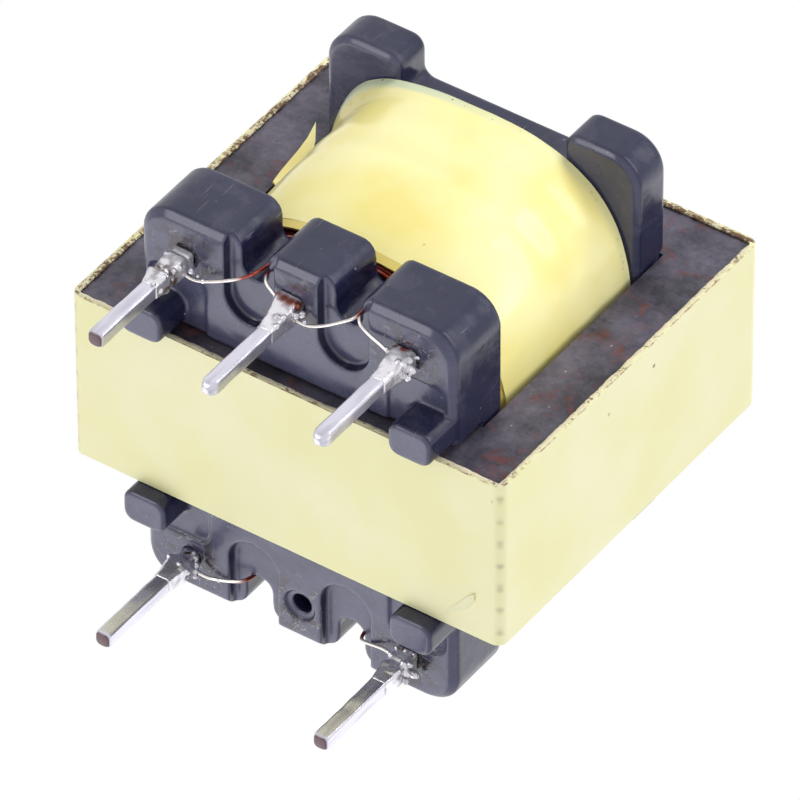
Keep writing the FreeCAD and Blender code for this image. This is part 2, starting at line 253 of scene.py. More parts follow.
@dataclass(frozen=True)
class VarnishedSteel:
    """Cold rolled silicon steel sheet with a thin dark insulating varnish, stamped and slightly rusted.

    The varnish gives a dull violet grey with a soft sheen, the stamped edges break through bright,
    and rust shows as small red patches and pits.
    """

    varnish: str = "#3b3943"
    varnish_light: str = "#696574"
    rust: str = "#7c443a"
    stain: str = "#3a3333"
    bare: str = "#c9bfae"
    cloud: float = 1.6
    grain: float = 0.2
    rolling: float = 0.12
    rust_patch: float = 0.95
    speck_spacing: float = 0.45
    edge_width: float = 0.07
    half_width: float = 7.0
    middle: float = 6.75
    half_height: float = 6.1

    def build(self) -> Material:
        """Makes the material.

        Returns:
            The varnished steel.
        """
        surface = Surface("varnished silicon steel", {"Metallic": 0.25, "Specular IOR Level": 0.35})
        add, pattern = surface.add, surface.pattern
        clouds = add(NOISE, pattern(self.cloud, Detail=6.0, Roughness=0.7))
        grain = add(NOISE, pattern(self.grain, Detail=4.0))
        lines = add(NOISE, pattern(self.rolling, (12, 1, 1), Detail=2.0))
        light = add(RANGE, [add(Sum.MULTIPLY_ADD, [lines, 0.07, clouds]), 0.43, 0.67])
        patches = add(NOISE, pattern(self.rust_patch, Detail=9.0, Roughness=0.8, Distortion=0.6))
        rusty = add(RANGE, [patches, 0.53, 0.64, 0.0, 0.75])
        pits = add(RANGE, [patches, 0.42, 0.34, 0.0, 0.7])
        specks = add(CELLS, pattern(self.speck_spacing))
        specks = add(RANGE, [specks, 0.09, 0.05, 0.0, 0.75])
        specks = add(Sum.MULTIPLY, [specks, add(RANGE, [clouds, 0.5, 0.56])])
        edge = self._edge_share(surface, grain)
        colour = surface.layered(self.varnish, (light, self.varnish_light), (rusty, self.rust),
                                 (pits, self.stain), (specks, self.bare), (edge, self.bare))
        rough = add(RANGE, [rusty, 0.0, 1.0, 0.42, 0.8])
        lumps = add(Sum.ADD, [grain, patches])
        return surface.finish({"Base Color": colour, "Roughness": rough}, lumps, depth=0.02, strength=0.8)

    def _edge_share(self, surface: Surface, grain: Node) -> Node:
        """The share of bare steel along the core's outer edges.

        Args:
            surface: The surface that is being made.
            grain: Fine noise that breaks the edge up.

        Returns:
            A node whose output is the share.
        """
        add = surface.add
        x, _, z = add(SPLIT, [surface.place]).outputs
        side = add(Sum.SUBTRACT, [add(Sum.ABSOLUTE, [x]), self.half_width * MM])
        end = add(Sum.ABSOLUTE, [add(Sum.SUBTRACT, [z, self.middle * MM])])
        end = add(Sum.SUBTRACT, [end, self.half_height * MM])
        near = add(RANGE, [add(Sum.MAXIMUM, [side, end]), -self.edge_width * MM, 0.0])
        return add(Sum.MULTIPLY, [near, add(RANGE, [grain, 0.4, 0.6])])


@dataclass(frozen=True)
class FilmTape:
    """Yellow polyester film tape: a smooth plastic film over a clear adhesive.

    The film gives an even, slightly waxy yellow with a soft gloss. Its cut rim is painted darker in broken
    patches, and what lies under it shows through as faint darker marks.
    """

    name: str = "yellow polyester film tape"
    film: str = "#f1eec1"
    film_deep: str = "#ede9b0"
    rim: str = "#a48d68"
    dirt: str = "#6f6a58"
    # Paler film where it has come free, and also a painted highlight on the flap and on a crease.
    loose_and_highlight: str = "#d2dcba"
    rim_axis: str = "Y"
    rim_both: bool = True
    cloud: float = 3.2
    streak: float = 0.35
    dirt_spacing: float = 1.7
    dirt_patch: float = 1.3
    dust_spacing: float = 0.32
    rim_patch_size: float = 0.25
    roughness: float = 0.42
    crease_depth: float = 0.01

    def build(self) -> Material:
        """Makes the material.

        Vertex attributes give two shares: mark for the dents of what lies under the film, and a second
        for film that has come free, which is paler and holds dust; that second share also carries painted
        highlights, where a flap or a crease catches the light.

        Returns:
            The film tape.
        """
        surface = Surface(self.name, {"Roughness": self.roughness, "IOR": 1.6, "Specular IOR Level": 0.4})
        add, pattern = surface.add, surface.pattern
        clouds = add(NOISE, pattern(self.cloud, Detail=3.0))
        deep = add(RANGE, [clouds, 0.38, 0.64])
        spots = add(RANGE, [add(CELLS, pattern(self.dirt_spacing)), 0.055, 0.03])
        few = add(RANGE, [add(NOISE, pattern(self.dirt_patch, Detail=1.0)), 0.54, 0.6])
        spots = add(Sum.MULTIPLY, [spots, few])
        mark = add(PAINTED, attribute_name="mark").outputs["Fac"]
        # This share lays a paler colour: film that has come free, and painted highlights on the flap and a
        # crease.
        lift = add(PAINTED, attribute_name="lift").outputs["Fac"]
        dust = add(RANGE, [add(CELLS, pattern(self.dust_spacing)), 0.16, 0.1, 0.0, 0.9])
        dust = add(Sum.MULTIPLY, [dust, lift])
        facing = add(SPLIT, [add("ShaderNodeNewGeometry").outputs["True Normal"]])
        # The cut rim, on faces that look along the rim axis, is painted darker in broken patches.
        rim = add(Sum.ABSOLUTE if self.rim_both else Sum.MULTIPLY, [facing.outputs[self.rim_axis], -1.0])
        rim_patches = add(RANGE, [add(NOISE, pattern(self.rim_patch_size, Detail=4.0)), 0.45, 0.62])
        rim = add(Sum.MULTIPLY, [add(RANGE, [rim, 0.6, 0.8]), rim_patches])
        colour = surface.layered(self.film, (deep, self.film_deep), (spots, self.dirt), (mark, self.dirt),
                                 (lift, self.loose_and_highlight), (dust, self.dirt), (rim, self.rim))
        ripple = add(NOISE, pattern(self.streak, (9, 1, 3), Detail=2.0))
        height = add(Sum.MULTIPLY_ADD, [clouds, 3.0, ripple])
        return surface.finish({"Base Color": colour}, height, depth=self.crease_depth, strength=0.6)


@dataclass(frozen=True)
class CrustedVarnish:
    """Dried dipping varnish on the tape's cut rim.

    It gives a cream crust with brown and black grains of dirt.
    """

    cream: str = "#e4dbb9"
    brown: str = "#6b5138"
    grain: float = 0.1
    patch: float = 0.6

    def build(self) -> Material:
        """Makes the material. A vertex attribute named grime gives the share of dirt.

        Returns:
            The crusted varnish.
        """
        surface = Surface("crusted dipping varnish", {"Roughness": 0.55})
        add, pattern = surface.add, surface.pattern
        grain = add(NOISE, pattern(self.grain, Detail=3.0))
        patch = add(NOISE, pattern(self.patch, Detail=3.0))
        grime = add(PAINTED, attribute_name="grime").outputs["Fac"]
        share = add(Sum.MULTIPLY_ADD, [patch, 0.7, grain])
        share = add(RANGE, [add(Sum.MULTIPLY_ADD, [grime, 0.35, share]), 1.0, 1.16])
        colour = surface.layered(self.cream, (share, self.brown))
        return surface.finish({"Base Color": colour}, grain, depth=0.04, strength=0.8)


@dataclass(frozen=True)
class BlackMoulding:
    """Black glass filled thermoplastic, injection moulded.

    It gives a blue black with a soft semi gloss, fine sink ripples, hairline scratches and specks of
    dust. Faces that look towards the pin side are painted paler as painted light, and flux crackles near the
    pins.
    """

    plastic: str = "#171933"
    plastic_light: str = "#272948"
    haze: str = "#535364"
    # The paler colour of faces that look towards the pin side: painted light.
    film: str = "#6b6b89"
    haze_size: float = 1.3
    dust: str = "#9a99a6"
    flux: str = "#3b3433"
    crackle: str = "#98959c"
    cloud: float = 2.4
    ripple: float = 0.9
    dust_spacing: float = 0.6
    scratch: float = 0.05
    scratch_turn: tuple[float, float, float] = (0.3, 0.5, 0.7)
    flux_reach: float = 1.5
    crackle_size: float = 0.55
    pin_pitch: float = 3.65
    pin_row: float = 5.45
    pin_face: float = 1.16
    pin_face_fade: float = 0.04

    def build(self) -> Material:
        """Makes the material.

        Returns:
            The black moulding.
        """
        surface = Surface("black moulded thermoplastic", {"IOR": 1.5, "Specular IOR Level": 0.5})
        add, pattern = surface.add, surface.pattern
        clouds = add(NOISE, pattern(self.cloud, Detail=4.0))
        haze = add(NOISE, pattern(self.haze_size, Detail=6.0, Roughness=0.65, Distortion=0.5))
        facing = add(SPLIT, [add("ShaderNodeNewGeometry").outputs["True Normal"]])
        # Painted light: faces that look towards the pin side get a paler colour, patchy with the haze noise.
        pin_side_painted_light = add(RANGE, [facing.outputs["Z"], -0.35, -0.85])
        pin_side_painted_light = add(Sum.MULTIPLY, [pin_side_painted_light, haze])
        smear = add(RANGE, [haze, 0.5, 0.72, 0.0, 0.45])
        specks = add(CELLS, pattern(self.dust_spacing))
        specks = add(RANGE, [specks, 0.075, 0.035, 0.0, 0.85])
        specks = add(Sum.MULTIPLY, [specks, add(RANGE, [clouds, 0.43, 0.5])])
        scratches = add(NOISE, pattern(self.scratch, (1, 24, 24), self.scratch_turn, Detail=1.0))
        scratches = add(RANGE, [scratches, 0.74, 0.79, 0.0, 0.3])
        near = self._near_pins(surface)
        cracks = add(NOISE, pattern(self.crackle_size, Detail=3.0, Distortion=0.8))
        stained = add(Sum.MULTIPLY, [add(RANGE, [cracks, 0.45, 0.6, 0.0, 0.8]), near])
        line = add(Sum.ABSOLUTE, [add(Sum.SUBTRACT, [cracks, 0.52])])
        line = add(Sum.MULTIPLY, [add(RANGE, [line, 0.014, 0.004, 0.0, 0.8]), near])
        colour = surface.layered(self.plastic, (clouds, self.plastic_light), (pin_side_painted_light, self.film),
                                 (smear, self.haze), (specks, self.dust), (scratches, self.dust),
                                 (stained, self.flux), (line, self.crackle))
        rough = add(RANGE, [haze, 0.35, 0.68, 0.15, 0.36])
        ripple = add(NOISE, pattern(self.ripple, Detail=2.0))
        height = add(Sum.MULTIPLY_ADD, [ripple, 4.0, line])
        return surface.finish({"Base Color": colour, "Roughness": rough}, height, depth=0.01, strength=0.8)

    def _near_pins(self, surface: Surface) -> Node:
        """The share of soldering residue on the pin face, which is full beside a pin and fades out.

        Args:
            surface: The surface that is being made.

        Returns:
            A node whose output is the share.
        """
        add = surface.add
        x, y, z = add(SPLIT, [surface.place]).outputs
        across = add(Sum.PINGPONG, [x, self.pin_pitch / 2 * MM])
        along = add(Sum.SUBTRACT, [add(Sum.ABSOLUTE, [y]), self.pin_row * MM])
        away = add(VECTOR_SUM, [add(JOIN, [across, along])], operation="LENGTH").outputs["Value"]
        near = add(RANGE, [away, self.flux_reach * MM, self.flux_reach * 0.4 * MM],
                   interpolation_type="SMOOTHSTEP")
        under = add(RANGE, [z, self.pin_face * MM, (self.pin_face - self.pin_face_fade) * MM])
        return add(Sum.MULTIPLY, [near, under])


@dataclass(frozen=True)
class DippedTin:
    """Steel pins with a hot dipped tin coat.

    The coat gives a pale lavender silver, soft in gloss and drawn out in streaks along the pin. The
    cut end is bare and has gone brown.
    """

    tin: str = "#d0ceda"
    tin_shade: str = "#bcbac6"
    cut: str = "#57474b"
    streak: float = 0.2

    def build(self) -> Material:
        """Makes the material. A vertex attribute named cut marks the cut end.

        Returns:
            The dipped tin.
        """
        surface = Surface("hot dipped tin on steel", {"Metallic": 0.8})
        add, pattern = surface.add, surface.pattern
        streaks = add(NOISE, pattern(self.streak, (1, 1, 8), Detail=1.0, Roughness=0.4))
        shade = add(RANGE, [streaks, 0.5, 0.7])
        cut = add(PAINTED, attribute_name="cut").outputs["Fac"]
        colour = surface.layered(self.tin, (shade, self.tin_shade), (cut, self.cut))
        rough = add(RANGE, [streaks, 0.3, 0.7, 0.22, 0.34])
        return surface.finish({"Base Color": colour, "Roughness": rough}, streaks, depth=0.002, strength=0.3)


@dataclass(frozen=True)
class HandSolder:
    """Hand laid tin solder over a wire wrap.

    It gives a bright lumpy silver with painted shade from the lumps' noise, and dark brown where the flux
    has run and charred.
    """

    bright: str = "#dedce2"
    shade: str = "#b9b6bd"
    flux: str = "#4a382e"
    copper: str = "#93503f"
    lump: float = 0.3
    flux_patch: float = 0.3

    def build(self) -> Material:
        """Makes the material. Vertex attributes named flux and copper mark flux and bare wire.

        Returns:
            The solder.
        """
        surface = Surface("hand laid tin solder", {})
        add, pattern = surface.add, surface.pattern
        lumps = add(NOISE, pattern(self.lump, Detail=4.0))
        # Painted shade: a darker tone laid on by the same noise that gives the lumps their relief.
        painted_lump_shade = add(RANGE, [lumps, 0.48, 0.62])
        flux = add(PAINTED, attribute_name="flux").outputs["Fac"]
        patch = add(RANGE, [add(NOISE, pattern(self.flux_patch, Detail=3.0)), 0.42, 0.55])
        stain = add(Sum.MULTIPLY, [flux, patch])
        copper = add(PAINTED, attribute_name="copper").outputs["Fac"]
        colour = surface.layered(self.bright, (painted_lump_shade, self.shade), (stain, self.flux),
                                 (copper, self.copper))
        metal = add(RANGE, [stain, 0.0, 1.0, 0.75, 0.1])
        rough = add(RANGE, [lumps, 0.3, 0.7, 0.2, 0.38])
        links = {"Base Color": colour, "Metallic": metal, "Roughness": rough}
        return surface.finish(links, lumps, depth=0.02, strength=0.5)


@dataclass(frozen=True)
class EnamelledCopper:
    """Copper winding wire in a clear red brown enamel, tinned where it was soldered.

    The enamel gives a glossy red copper, which turns silver towards the pins.
    """

    enamel: str = "#8a3222"
    tinned: str = "#e2dcd8"
    fleck: float = 0.2

    def build(self) -> Material:
        """Makes the material. A vertex attribute named tinned gives the share of tin.

        Returns:
            The enamelled copper.
        """
        surface = Surface("enamelled copper wire", {"Metallic": 0.75, "Roughness": 0.3})
        add, pattern = surface.add, surface.pattern
        tinned = add(PAINTED, attribute_name="tinned").outputs["Fac"]
        fine = add(NOISE, pattern(self.fleck, Detail=3.0))
        ragged = add(Sum.SUBTRACT, [fine, 0.5])
        share = add(Sum.MULTIPLY_ADD, [ragged, 0.8, tinned], use_clamp=True)
        colour = surface.layered(self.enamel, (share, self.tinned))
        return surface.finish({"Base Color": colour}, fine, depth=0.01, strength=0.5)


@dataclass(frozen=True)
class PaleFloor:
    """A matt pale studio floor, which is clear when it is looked at from below."""

    colour: str = "#fbfbfc"

    def build(self) -> Material:
        """Makes the material.

        Returns:
            The floor.
        """
        surface = Surface("matt pale floor", {"Base Color": linear(self.colour), "Roughness": 0.9})
        back = surface.add("ShaderNodeNewGeometry").outputs["Backfacing"]
        clear = surface.add("ShaderNodeBsdfTransparent")
        blend = surface.add("ShaderNodeMixShader", [back, surface.shader, clear])
        surface.tree.links.new(output_of(blend), surface.output.inputs["Surface"])
        return surface.material


def placed(name: str, data: bpy.types.ID) -> bpy.types.Object:
    """Puts a mesh, curve, lamp or camera into the scene.

    Args:
        name: The object's name.
        data: What the object holds.

    Returns:
        The object.
    """
    piece = bpy.data.objects.new(name, data)
    bpy.context.scene.collection.objects.link(piece)
    return piece


def dress(mesh: Mesh, material: Material) -> None:
    """Gives a mesh one material in place of all that it has.

    Args:
        mesh: The mesh.
        material: Its finish.
    """
    mesh.materials.clear()
    mesh.materials.append(material)


def publish(name: str, mesh: Mesh, material: Material, replaced: Sequence[str] = (),
            sharp_degrees: float = 40.0) -> None:
    """Puts a finished mesh into the scene as one piece of the object.

    Args:
        name: The piece's name.
        mesh: Its mesh, in metres and in place.
        material: Its finish.
        replaced: The CAD nodes that it stands for.
        sharp_degrees: Edges that turn more than this stay sharp.
    """
    dress(mesh, material)
    mesh.shade_smooth()
    mesh.set_sharp_from_angle(angle=math.radians(sharp_degrees))
    piece = placed(name, mesh)
    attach(piece, BODY)
    if replaced:
        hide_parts(*replaced)
    LOG.info("%s: %d faces", name, len(mesh.polygons))


def box_of(node: str) -> tuple[Vector, Vector]:
    """A CAD node's lowest and highest corners in millimetres."""
    low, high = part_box(node)
    return low / MM, high / MM


def orient_outwards(mesh: Mesh) -> None:
    """Joins a mesh's doubled points and points its faces outwards."""
    work = bmesh.new()
    work.from_mesh(mesh)
    bmesh.ops.remove_doubles(work, verts=work.verts, dist=SAME_POINT * MM)
    bmesh.ops.recalc_face_normals(work, faces=work.faces)
    work.to_mesh(mesh)
    work.free()


def ring_mesh(name: str, rings: Sequence[Sequence[Vector]]) -> Mesh:
    """A closed skin over rings of points, with a flat cap at each end.

    Args:
        name: The mesh's name.
        rings: Rings in millimetres with the same number of points, each turning the same way.

    Returns:
        The mesh, in metres.
    """
    count = len(rings[0])
    last = (len(rings) - 1) * count
    faces = []
    for low in range(0, last, count):
        for i in range(count):
            j = (i + 1) % count
            faces.append((low + i, low + j, low + count + j, low + count + i))
    faces += [tuple(reversed(range(count))), tuple(range(last, last + count))]
    mesh = bpy.data.meshes.new(name)
    mesh.from_pydata([point * MM for ring in rings for point in ring], [], faces)
    orient_outwards(mesh)
    return mesh


def plain_mesh(piece: bpy.types.Object, name: str) -> Mesh:
    """Turns an object with its modifiers into a plain mesh and deletes the object.

    Args:
        piece: The object to finish.
        name: The new mesh's name.

    Returns:
        The plain mesh.
    """
    depsgraph = bpy.context.evaluated_depsgraph_get()
    mesh = bpy.data.meshes.new_from_object(piece.evaluated_get(depsgraph), preserve_all_data_layers=True,
                                           depsgraph=depsgraph)
    mesh.name = name
    bpy.data.objects.remove(piece)
    return mesh


def modified(mesh: Mesh, **modifiers: dict[str, object]) -> Mesh:
    """Runs a mesh through modifiers.

    Args:
        mesh: The mesh.
        **modifiers: By type, in their order, each modifier's settings.

    Returns:
        The plain mesh.
    """
    piece = placed(mesh.name, mesh)
    for kind, settings in modifiers.items():
        modifier = piece.modifiers.new(kind, kind)
        for name, value in settings.items():
            setattr(modifier, name, value)
    return plain_mesh(piece, mesh.name)


def thickened(mesh: Mesh, wall: float) -> Mesh:
    """Gives an open skin a wall in millimetres on its inner side, with closed rims."""
    return modified(mesh, SOLIDIFY={"thickness": wall * MM, "offset": -1.0})


def fused(name: str, work: bmesh.types.BMesh, voxel: float, rounds: int, triangles: int) -> Mesh:
    """Turns closed bodies in millimetres into one soft skin in metres.

    Args:
        name: The mesh's name.
        work: The bodies, which are freed.
        voxel: The width of a voxel in millimetres.
        rounds: How often the skin is smoothed.
        triangles: The largest number of triangles to keep.

    Returns:
        The skin.
    """
    mesh = bpy.data.meshes.new(name)
    work.to_mesh(mesh)
    work.free()
    skin = modified(mesh, REMESH={"mode": "VOXEL", "voxel_size": voxel},
                    SMOOTH={"factor": 0.5, "iterations": rounds})
    skin = modified(skin, DECIMATE={"ratio": min(1.0, triangles / (2 * len(skin.polygons)))})
    skin.transform(Matrix.Scale(MM, 4))
    return skin


def tube_mesh(name: str, points: Sequence[Vector], radius: float) -> Mesh:
    """A round closed tube along a smooth path.

    Args:
        name: The mesh's name.
        points: The path's control points in millimetres.
        radius: The tube's radius in millimetres.

    Returns:
        The mesh, in metres.
    """
    curve = bpy.data.curves.new(name, "CURVE")
    curve.dimensions = "3D"
    curve.resolution_u = 6
    curve.bevel_depth = radius * MM
    curve.bevel_resolution = 3
    curve.use_fill_caps = True
    spline = curve.splines.new("NURBS")
    spline.points.add(len(points) - 1)
    for knot, point in zip(spline.points, points):
        knot.co = (*(point * MM), 1.0)
    spline.order_u = 3
    spline.use_endpoint_u = True
    mesh = plain_mesh(placed(name, curve), name)
    orient_outwards(mesh)
    return mesh


def paint(mesh: Mesh, name: str, share: Callable[[Vector], float]) -> None:
    """Stores a share from zero to one on each vertex.

    Args:
        mesh: The mesh to paint.
        name: The attribute's name.
        share: Gives the share at a point in millimetres.
    """
    values = [min(1.0, max(0.0, share(vertex.co / MM))) for vertex in mesh.vertices]
    attribute = mesh.attributes.new(name, "FLOAT", "POINT")
    attribute.data.foreach_set("value", values)


def rise(value: float, start: float, end: float) -> float:
    """A smooth step from zero at start to one at end."""
    share = min(1.0, max(0.0, (value - start) / (end - start)))
    return share * share * (3 - 2 * share)


def lumpy(place: Vector, size: float, seed: float) -> float:
    """Smooth noise of about plus or minus one, with lumps of that size in millimetres."""
    return noise.noise(place / size + Vector((seed, seed * 0.7, -seed)))


def grown(name: str, shape: Callable[[Adder, dict[str, Socket]], Node], material: Material,
          lengths: dict[str, float], numbers: dict[str, float]) -> Mesh:
    """Builds a geometry tree with named inputs and runs it.

    Args:
        name: The mesh's name.
        shape: Adds the nodes that make the shape from the tree's inputs, and gives the last one.
        material: The finish.
        lengths: The inputs in millimetres, by name.
        numbers: The other inputs, by name.

    Returns:
        The plain mesh, with its faces outwards.
    """
    sizes = {**{label: length * MM for label, length in lengths.items()}, **numbers}
    tree = bpy.data.node_groups.new(name, "GeometryNodeTree")
    tree.interface.new_socket("Geometry", in_out="OUTPUT", socket_type="NodeSocketGeometry")
    keys = [tree.interface.new_socket(label, in_out="INPUT", socket_type="NodeSocketFloat").identifier
            for label in sizes]
    add = partial(add_node, tree)
    geometry = shape(add, dict(add("NodeGroupInput").outputs.items()))
    real = add("GeometryNodeRealizeInstances", [geometry])
    dressed = add("GeometryNodeSetMaterial", {"Geometry": real, "Material": material})
    add("NodeGroupOutput", [dressed])
    piece = placed(name, bpy.data.meshes.new(name))
    modifier = piece.modifiers.new(name, "NODES")
    modifier.node_group = tree
    for key, value in zip(keys, sizes.values()):
        modifier[key] = value
    mesh = plain_mesh(piece, name)
    orient_outwards(mesh)
    return mesh


@dataclass
class Core:
    """The stack of E and I sheets with the band of tape round it."""

    steel: Material
    tape: Material
    varnish: Material
    band_wall: float = 0.15
    corner_radius: float = 0.32
    proud: float = 0.01
    edge_wave: float = 0.035
    wave_length: float = 2.2
    sheet_pair: float = 0.8
    dent_inset: float = 0.09
    dent_core: float = 0.02
    dent_reach: float = 0.17
    dent_share: float = 0.42
    dent_change: float = 0.2
    dent_patch: float = 1.1
    flap_wall: float = 0.06
    flap_outline: tuple[tuple[float, float], ...] = (
        (5.27, 2.53), (5.63, 2.3), (6.06, 1.93), (6.29, 1.53), (6.29, 1.28), (6.06, 1.5), (5.72, 1.93),
        (5.48, 2.2))
    flap_root: float = 5.2
    flap_lift_and_highlight: float = 0.25
    bead_inset: float = 0.12
    bead_corner: float = 0.12
    bead_level: float = 2.85
    bead_width: float = 0.17
    bead_height: float = 0.07
    bead_wander: float = 0.022
    bead_lump: float = 0.35
    bead_sides: int = 10
    grime_start: float = 0.4
    grime_full: float = 0.2
    grime_ground: float = 0.15
    grime_top: float = 0.75
    grime_left: float = 0.5
    around: int = 900
    across: int = 41
    band_steps: int = 10
    bead_steps: int = 6

    def dress_sheets(self) -> None:
        """Gives every sheet its varnish."""
        for name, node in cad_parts.items():
            if "lamination" in name:
                dress(node.data, self.steel)
                LOG.info("%s: dressed", name)

    def _outline(self, add: Adder, given: dict[str, Socket], steps: int) -> Node:
        """A rectangle with round corners.

        Args:
            add: Adds a node to the tree.
            given: The tree's inputs, with Width, Height and Corner Radius.
            steps: The number of steps round a corner.

        Returns:
            The node that gives the curve.
        """
        sides = add("GeometryNodeCurvePrimitiveQuadrilateral",
                    {"Width": given["Width"], "Height": given["Height"]})
        return add("GeometryNodeFilletCurve", {
            "Curve": sides, "Count": steps, "Radius": given["Corner Radius"], "Limit Radius": True},
            mode="POLY")

    def shape_band(self, add: Adder, given: dict[str, Socket]) -> Node:
        """A strip wound round a rounded rectangle, with edges that wander a little.

        Args:
            add: Adds a node to the tree.
            given: The tree's inputs.

        Returns:
            The node that gives the last geometry.
        """
        grid = add(GRID, {"Size X": 1.0, "Size Y": 1.0, "Vertices X": self.around,
                          "Vertices Y": self.across})
        flat = add(SPLIT, [add(PLACE)]).outputs
        turn = add(Sum.ADD, [flat["X"], 0.5])
        sample = add("GeometryNodeSampleCurve", {
            "Curves": self._outline(add, given, self.band_steps), "Factor": turn},
            mode="FACTOR").outputs["Position"]
        place = add(SPLIT, [sample]).outputs
        side = add(Sum.SIGN, [flat["Y"]])
        side = add(Sum.MULTIPLY_ADD, [side, given["Seed"], given["Seed"]])
        along = add(VECTOR_SUM, [sample, given["Wave Length"]], operation="DIVIDE")
        wave = add(NOISE, {"Vector": along, "W": side, "Scale": 1.0, "Detail": 4.0},
                   noise_dimensions="4D")
        wave = add(RANGE, [wave, *NOISE_SPAN, 0.0, given["Edge Wave"]])
        depth = add(Sum.MULTIPLY, [add(Sum.ADD, [given["Depth"], wave]), flat["Y"]])
        level = add(Sum.ADD, [place["Y"], given["Middle"]])
        bent = add(JOIN, [place["X"], depth, level])
        strip = add(MOVE, {"Geometry": grid, "Position": bent})
        return add("GeometryNodeMergeByDistance", {"Geometry": strip, "Distance": SEAM_GAP * MM})

    def wind_band(self) -> None:
        """Makes the band of tape from the CAD band's box."""
        low, high = box_of("core_tape")
        mesh = grown("core_tape_band", self.shape_band, self.tape, {
            "Width": high.x - low.x, "Height": high.z - low.z, "Corner Radius": self.corner_radius,
            "Depth": high.y - low.y + 2 * self.proud, "Middle": (high.z + low.z) / 2,
            "Edge Wave": self.edge_wave, "Wave Length": self.wave_length}, {"Seed": 3.7})
        mesh = thickened(mesh, self.band_wall)
        paint(mesh, "mark", lambda p: self.dent_mark(p, low, high))
        publish("core_tape_band", mesh, self.tape, ["core_tape"])

    def dent_mark(self, place: Vector, low: Vector, high: Vector) -> float:
        """How strongly the sheets' corners show through the tape at a place.

        Args:
            place: A point of the band in millimetres.
            low: The band's lowest corner.
            high: The band's highest corner.

        Returns:
            A share from zero to one.
        """
        across = min(abs(place.x - low.x), abs(place.x - high.x)) - self.dent_inset
        down = min(abs(place.z - low.z), abs(place.z - high.z)) - self.dent_inset
        beat = (place.y / self.sheet_pair + 0.5) % 1.0 - 0.5
        away = math.sqrt(across ** 2 + down ** 2 + (beat * self.sheet_pair) ** 2)
        fade = self.dent_share + self.dent_change * lumpy(place, self.dent_patch, 4.0)
        return fade * (1 - rise(away, self.dent_core, self.dent_reach))

    def lift_end(self) -> None:
        """Makes the tape's end, a small flap that stands off the pin side and catches the light."""
        low, _ = box_of("core_tape")
        root = [Vector((x, y, low.z + self.proud)) for x, y in self.flap_outline]
        face = [Vector((x, y, low.z - self.flap_wall * (x - self.flap_root))) for x, y in self.flap_outline]
        mesh = ring_mesh("core_tape_flap", [root, face])
        # The flap's paler colour is a painted highlight, for the light that it catches.
        paint(mesh, "lift", lambda p: self.flap_lift_and_highlight)
        publish("core_tape_flap", mesh, self.tape)

    def shape_bead(self, add: Adder, given: dict[str, Socket]) -> Node:
        """A thin bead of varnish that runs round the core's face along the tape's rim.

        Args:
            add: Adds a node to the tree.
            given: The tree's inputs.

        Returns:
            The node that gives the last geometry.
        """
        outline = add("GeometryNodeResampleCurve", {
            "Curve": self._outline(add, given, self.bead_steps), "Count": self.around})
        section = add("GeometryNodeTransform", {
            "Geometry": add(CIRCLE, {"Resolution": self.bead_sides, "Radius": 1.0}),
            "Scale": add(JOIN, [given["Bead Width"], given["Bead Height"], 1.0])})
        bead = add("GeometryNodeTransform", {
            "Geometry": add(SWEEP, {"Curve": outline, "Profile Curve": section}),
            "Translation": add(JOIN, {"Y": given["Level"], "Z": given["Middle"]}),
            "Rotation": add(JOIN, [math.radians(90)])})
        wave = add(NOISE, {"Vector": add(PLACE), "W": given["Seed"], "Scale": per_metre(self.bead_lump),
                           "Detail": 3.0}, noise_dimensions="4D")
        push = add(Sum.MULTIPLY, [add(RANGE, [wave, *NOISE_SPAN, -1.0]), given["Wander"]])
        offset = add(VECTOR_SUM, {0: add("GeometryNodeInputNormal"), "Scale": push},
                     operation="SCALE")
        return add(MOVE, {"Geometry": bead, "Offset": offset})

    def lay_beads(self) -> None:
        """Makes the varnish bead on both faces of the core, with its dirt at the top and the left."""
        low, high = box_of("core_tape")
        for name, side in (("core_varnish_near", -1), ("core_varnish_far", 1)):
            mesh = grown(name, self.shape_bead, self.varnish, {
                "Width": high.x - low.x - 2 * self.bead_inset,
                "Height": high.z - low.z - 2 * self.bead_inset,
                "Corner Radius": self.bead_corner, "Level": side * self.bead_level,
                "Middle": (high.z + low.z) / 2, "Bead Width": self.bead_width / 2,
                "Bead Height": self.bead_height / 2, "Wander": self.bead_wander}, {"Seed": 2.0 + side})
            paint(mesh, "grime", lambda p: self.grime_ground
                  + self.grime_top * rise(p.z, high.z - self.grime_start, high.z - self.grime_full)
                  + self.grime_left * rise(-p.x, high.x - self.grime_start, high.x - self.grime_full))
            publish(name, mesh, self.varnish, sharp_degrees=80.0)


@dataclass
class Bobbin:
    """The black moulding with its flanges, rails, feet and ears."""

    plastic: Material
    voxel: float = 0.045
    smooth_rounds: int = 9
    triangles: int = 180000

    def mould(self) -> None:
        """Softens the CAD moulding's edges as a mould does and dresses it."""
        work = bmesh.new()
        work.from_mesh(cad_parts["bobbin"].data)
        bmesh.ops.remove_doubles(work, verts=work.verts, dist=SAME_POINT * MM)
        bmesh.ops.scale(work, vec=(1 / MM,) * 3, verts=work.verts)
        mesh = fused("bobbin_moulding", work, self.voxel, self.smooth_rounds, self.triangles)
        publish("bobbin_moulding", mesh, self.plastic, ["bobbin"], sharp_degrees=60.0)


